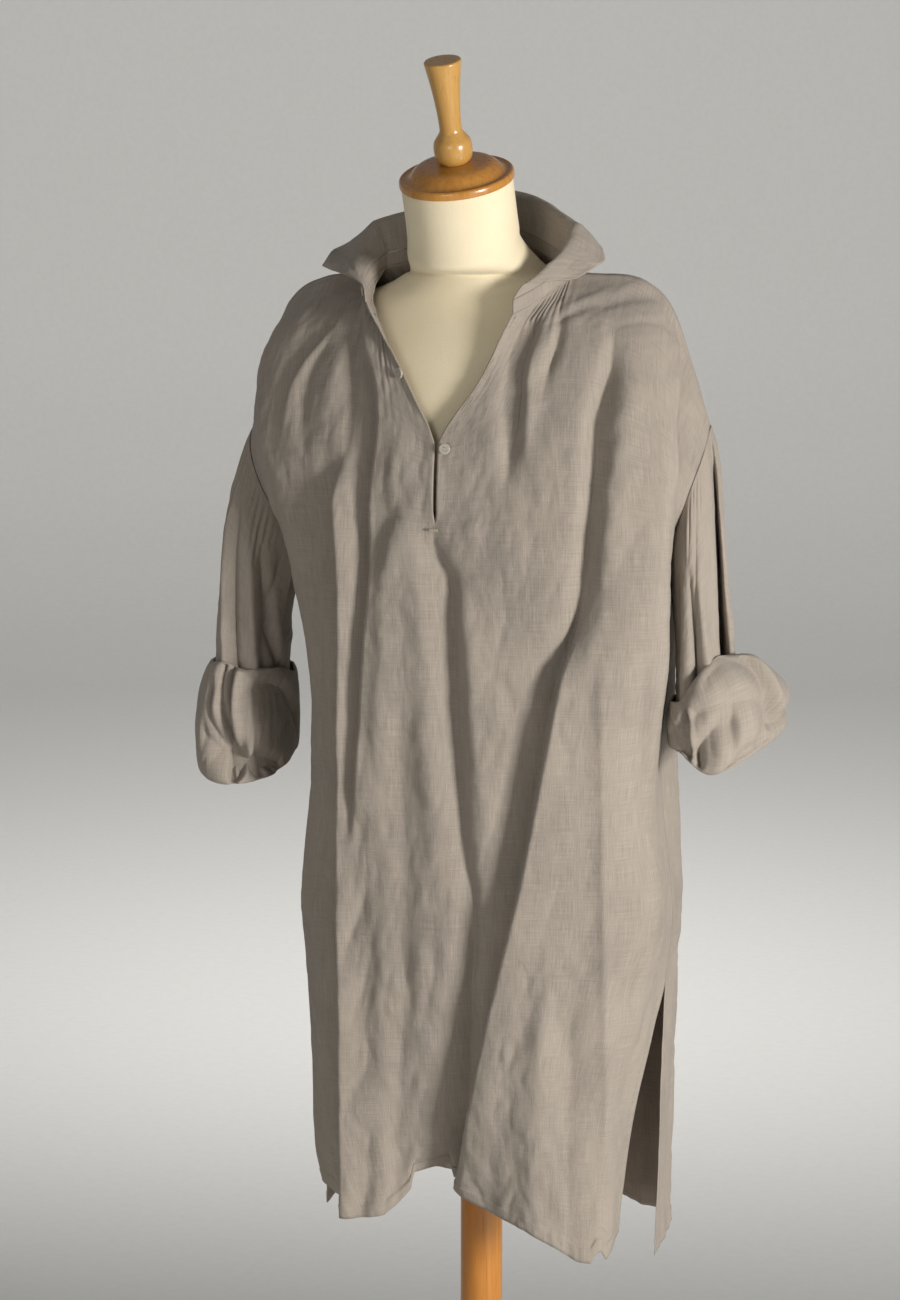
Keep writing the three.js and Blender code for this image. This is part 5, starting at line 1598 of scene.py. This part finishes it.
lines = []
for side in ("left", "right"):
    for face in ("front", "back"):
        across = np.linspace(0.004, 0.985, 220)
        lines.append(on_panel(face, side, across, HEM_STITCH_ROW - HEM_BAND[face]))
        lines.append(on_panel(face, side, VENT_STITCH, np.linspace(VENT_ROW + 0.1, LAST_ROW - 0.05, 110)))
        lines.append(on_panel(face, side, SEAM_STITCH, np.linspace(0.15, UNDERARM_ROW - 0.1, 90)))
    lines.append(on_panel("front", side, np.linspace(NECK_S + 0.01, 0.97, 70), NECK_STITCH_ROW))
    for s, lift in FACING_STITCHES:
        lines.append(on_panel("front", side, s, np.linspace(0.06, FACING_SHOWN, 90), lift))
for name, rows in (("collar_linen", (-3,)), ("neckband_linen", (1, -2))):
    points, out = STRIPS[name]
    for row in rows:
        for way in (1, -1):
            lines.append(points[row, 2:-2] + way * out[row, 2:-2])
points, out = STRIPS["collar_linen"]
for column in (2, -3):
    for way in (1, -1):
        lines.append(points[4:-3, column] + way * out[4:-3, column])
stitches = sew("stitches", lines)

# %% [markdown]
# ## Buttonholes and the button's thread
# A buttonhole is a slit with thread worked closely along both lips, so it shows as two close rows of
# thread. The same tree makes them, with a smaller pitch. The fastened button is held by two short
# strands, each from one hole to the next.

# %% Close stitches
HOLE_ROWS = (0.16, 0.83, 1.42)
HOLE_REACH = 0.09
HOLE_LIPS = (0.022, 0.0275)
HOLE_LIFT = 1.0
STRAND_REACH = 1.3
STRAND_DEPTH = 0.7
worked = []
for row in HOLE_ROWS:
    rows = np.linspace(row - HOLE_REACH, row + HOLE_REACH, 12)
    for lip in HOLE_LIPS:
        worked.append(on_panel("front", "left", lip, rows, HOLE_LIFT))
low, high = (np.array(corner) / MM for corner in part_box("button_front"))
centre = (low + high) / 2
centre[1] = low[1] + STRAND_DEPTH
for height in (-STRAND_REACH, STRAND_REACH):
    worked.append(centre + np.array([[-STRAND_REACH, 0, height], [STRAND_REACH, 0, height]]))
buttonholes = sew("buttonhole_thread", worked, Pitch=0.85 * MM, Length=0.75 * MM, Thickness=0.3 * MM)

# %% [markdown]
# ## What each piece stands for
# Every piece rides on the one body, and each but the sewing replaces its node of the model. For each
# linen piece, the area of one layer is printed beside the size that a maker would cut for what shows.
# The buttons and the bar at the foot of the slit stay the model's own, with a better finish.

# %% Pieces, nodes and sheets
SHEETS = [
    (front_panel, "front_panel", (0.57, 1.00), "draped", ["form_body"]),
    (back_panel, "back_panel", (0.57, 1.06), "draped", ["form_body"]),
    (neckband, "neckband", (0.47, 0.014), "stretched", ["front_linen", "back_linen"]),
    (collar, "collar", (0.46, 0.072), "folded", ["neckband_linen"]),
    (facings["left"], "placket_left", (0.016, 0.19), "stretched", ["front_linen"]),
    (facings["right"], "placket_right", (0.016, 0.19), "stretched", ["front_linen"]),
    (sleeves["left"], "sleeve_left", (0.32, 0.22), "gathered", ["front_linen", "back_linen"]),
    (sleeves["right"], "sleeve_right", (0.34, 0.23), "gathered", ["front_linen", "back_linen"]),
    (rolls["left"], "cuff_roll_left", (0.34, 0.15), "folded", ["sleeve_left_linen"]),
    (rolls["right"], "cuff_roll_right", (0.38, 0.21), "folded", ["sleeve_right_linen"]),
]
for obj, node, flat, held, on in SHEETS:
    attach(obj, "root")
    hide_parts(node)
    area = sum(polygon.area for polygon in obj.data.polygons) / 2
    print(obj.name, "one layer", round(area, 4), "m2, cut", flat, round(flat[0] * flat[1], 4), "m2")
for obj in (stitches, buttonholes):
    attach(obj, "root")
for obj, node, slot in (
    (dress_form, "dress_form", "form_cover"),
    (neck_cap, "neck_cap", "cap_wood"),
    (finial, "finial", "finial_wood"),
    (pole, "pole", "pole_wood"),
    (base, "stand_base", "base_wood"),
):
    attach(obj, "root")
    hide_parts(node)
for name, material in (
    ("button_front", BUTTON),
    ("button_neck", BUTTON),
    ("button_band", BUTTON),
    ("slit_tack", THREAD),
):
    node = frame["nodes"][name]
    node.data.materials.clear()
    node.data.materials.append(material)

# %% Sizes and finish
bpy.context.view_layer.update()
total = 0
for obj in bpy.data.objects:
    if obj.type == "MESH" and not obj.hide_render:
        total += sum(len(polygon.vertices) - 2 for polygon in obj.data.polygons)
print("triangles:", total)
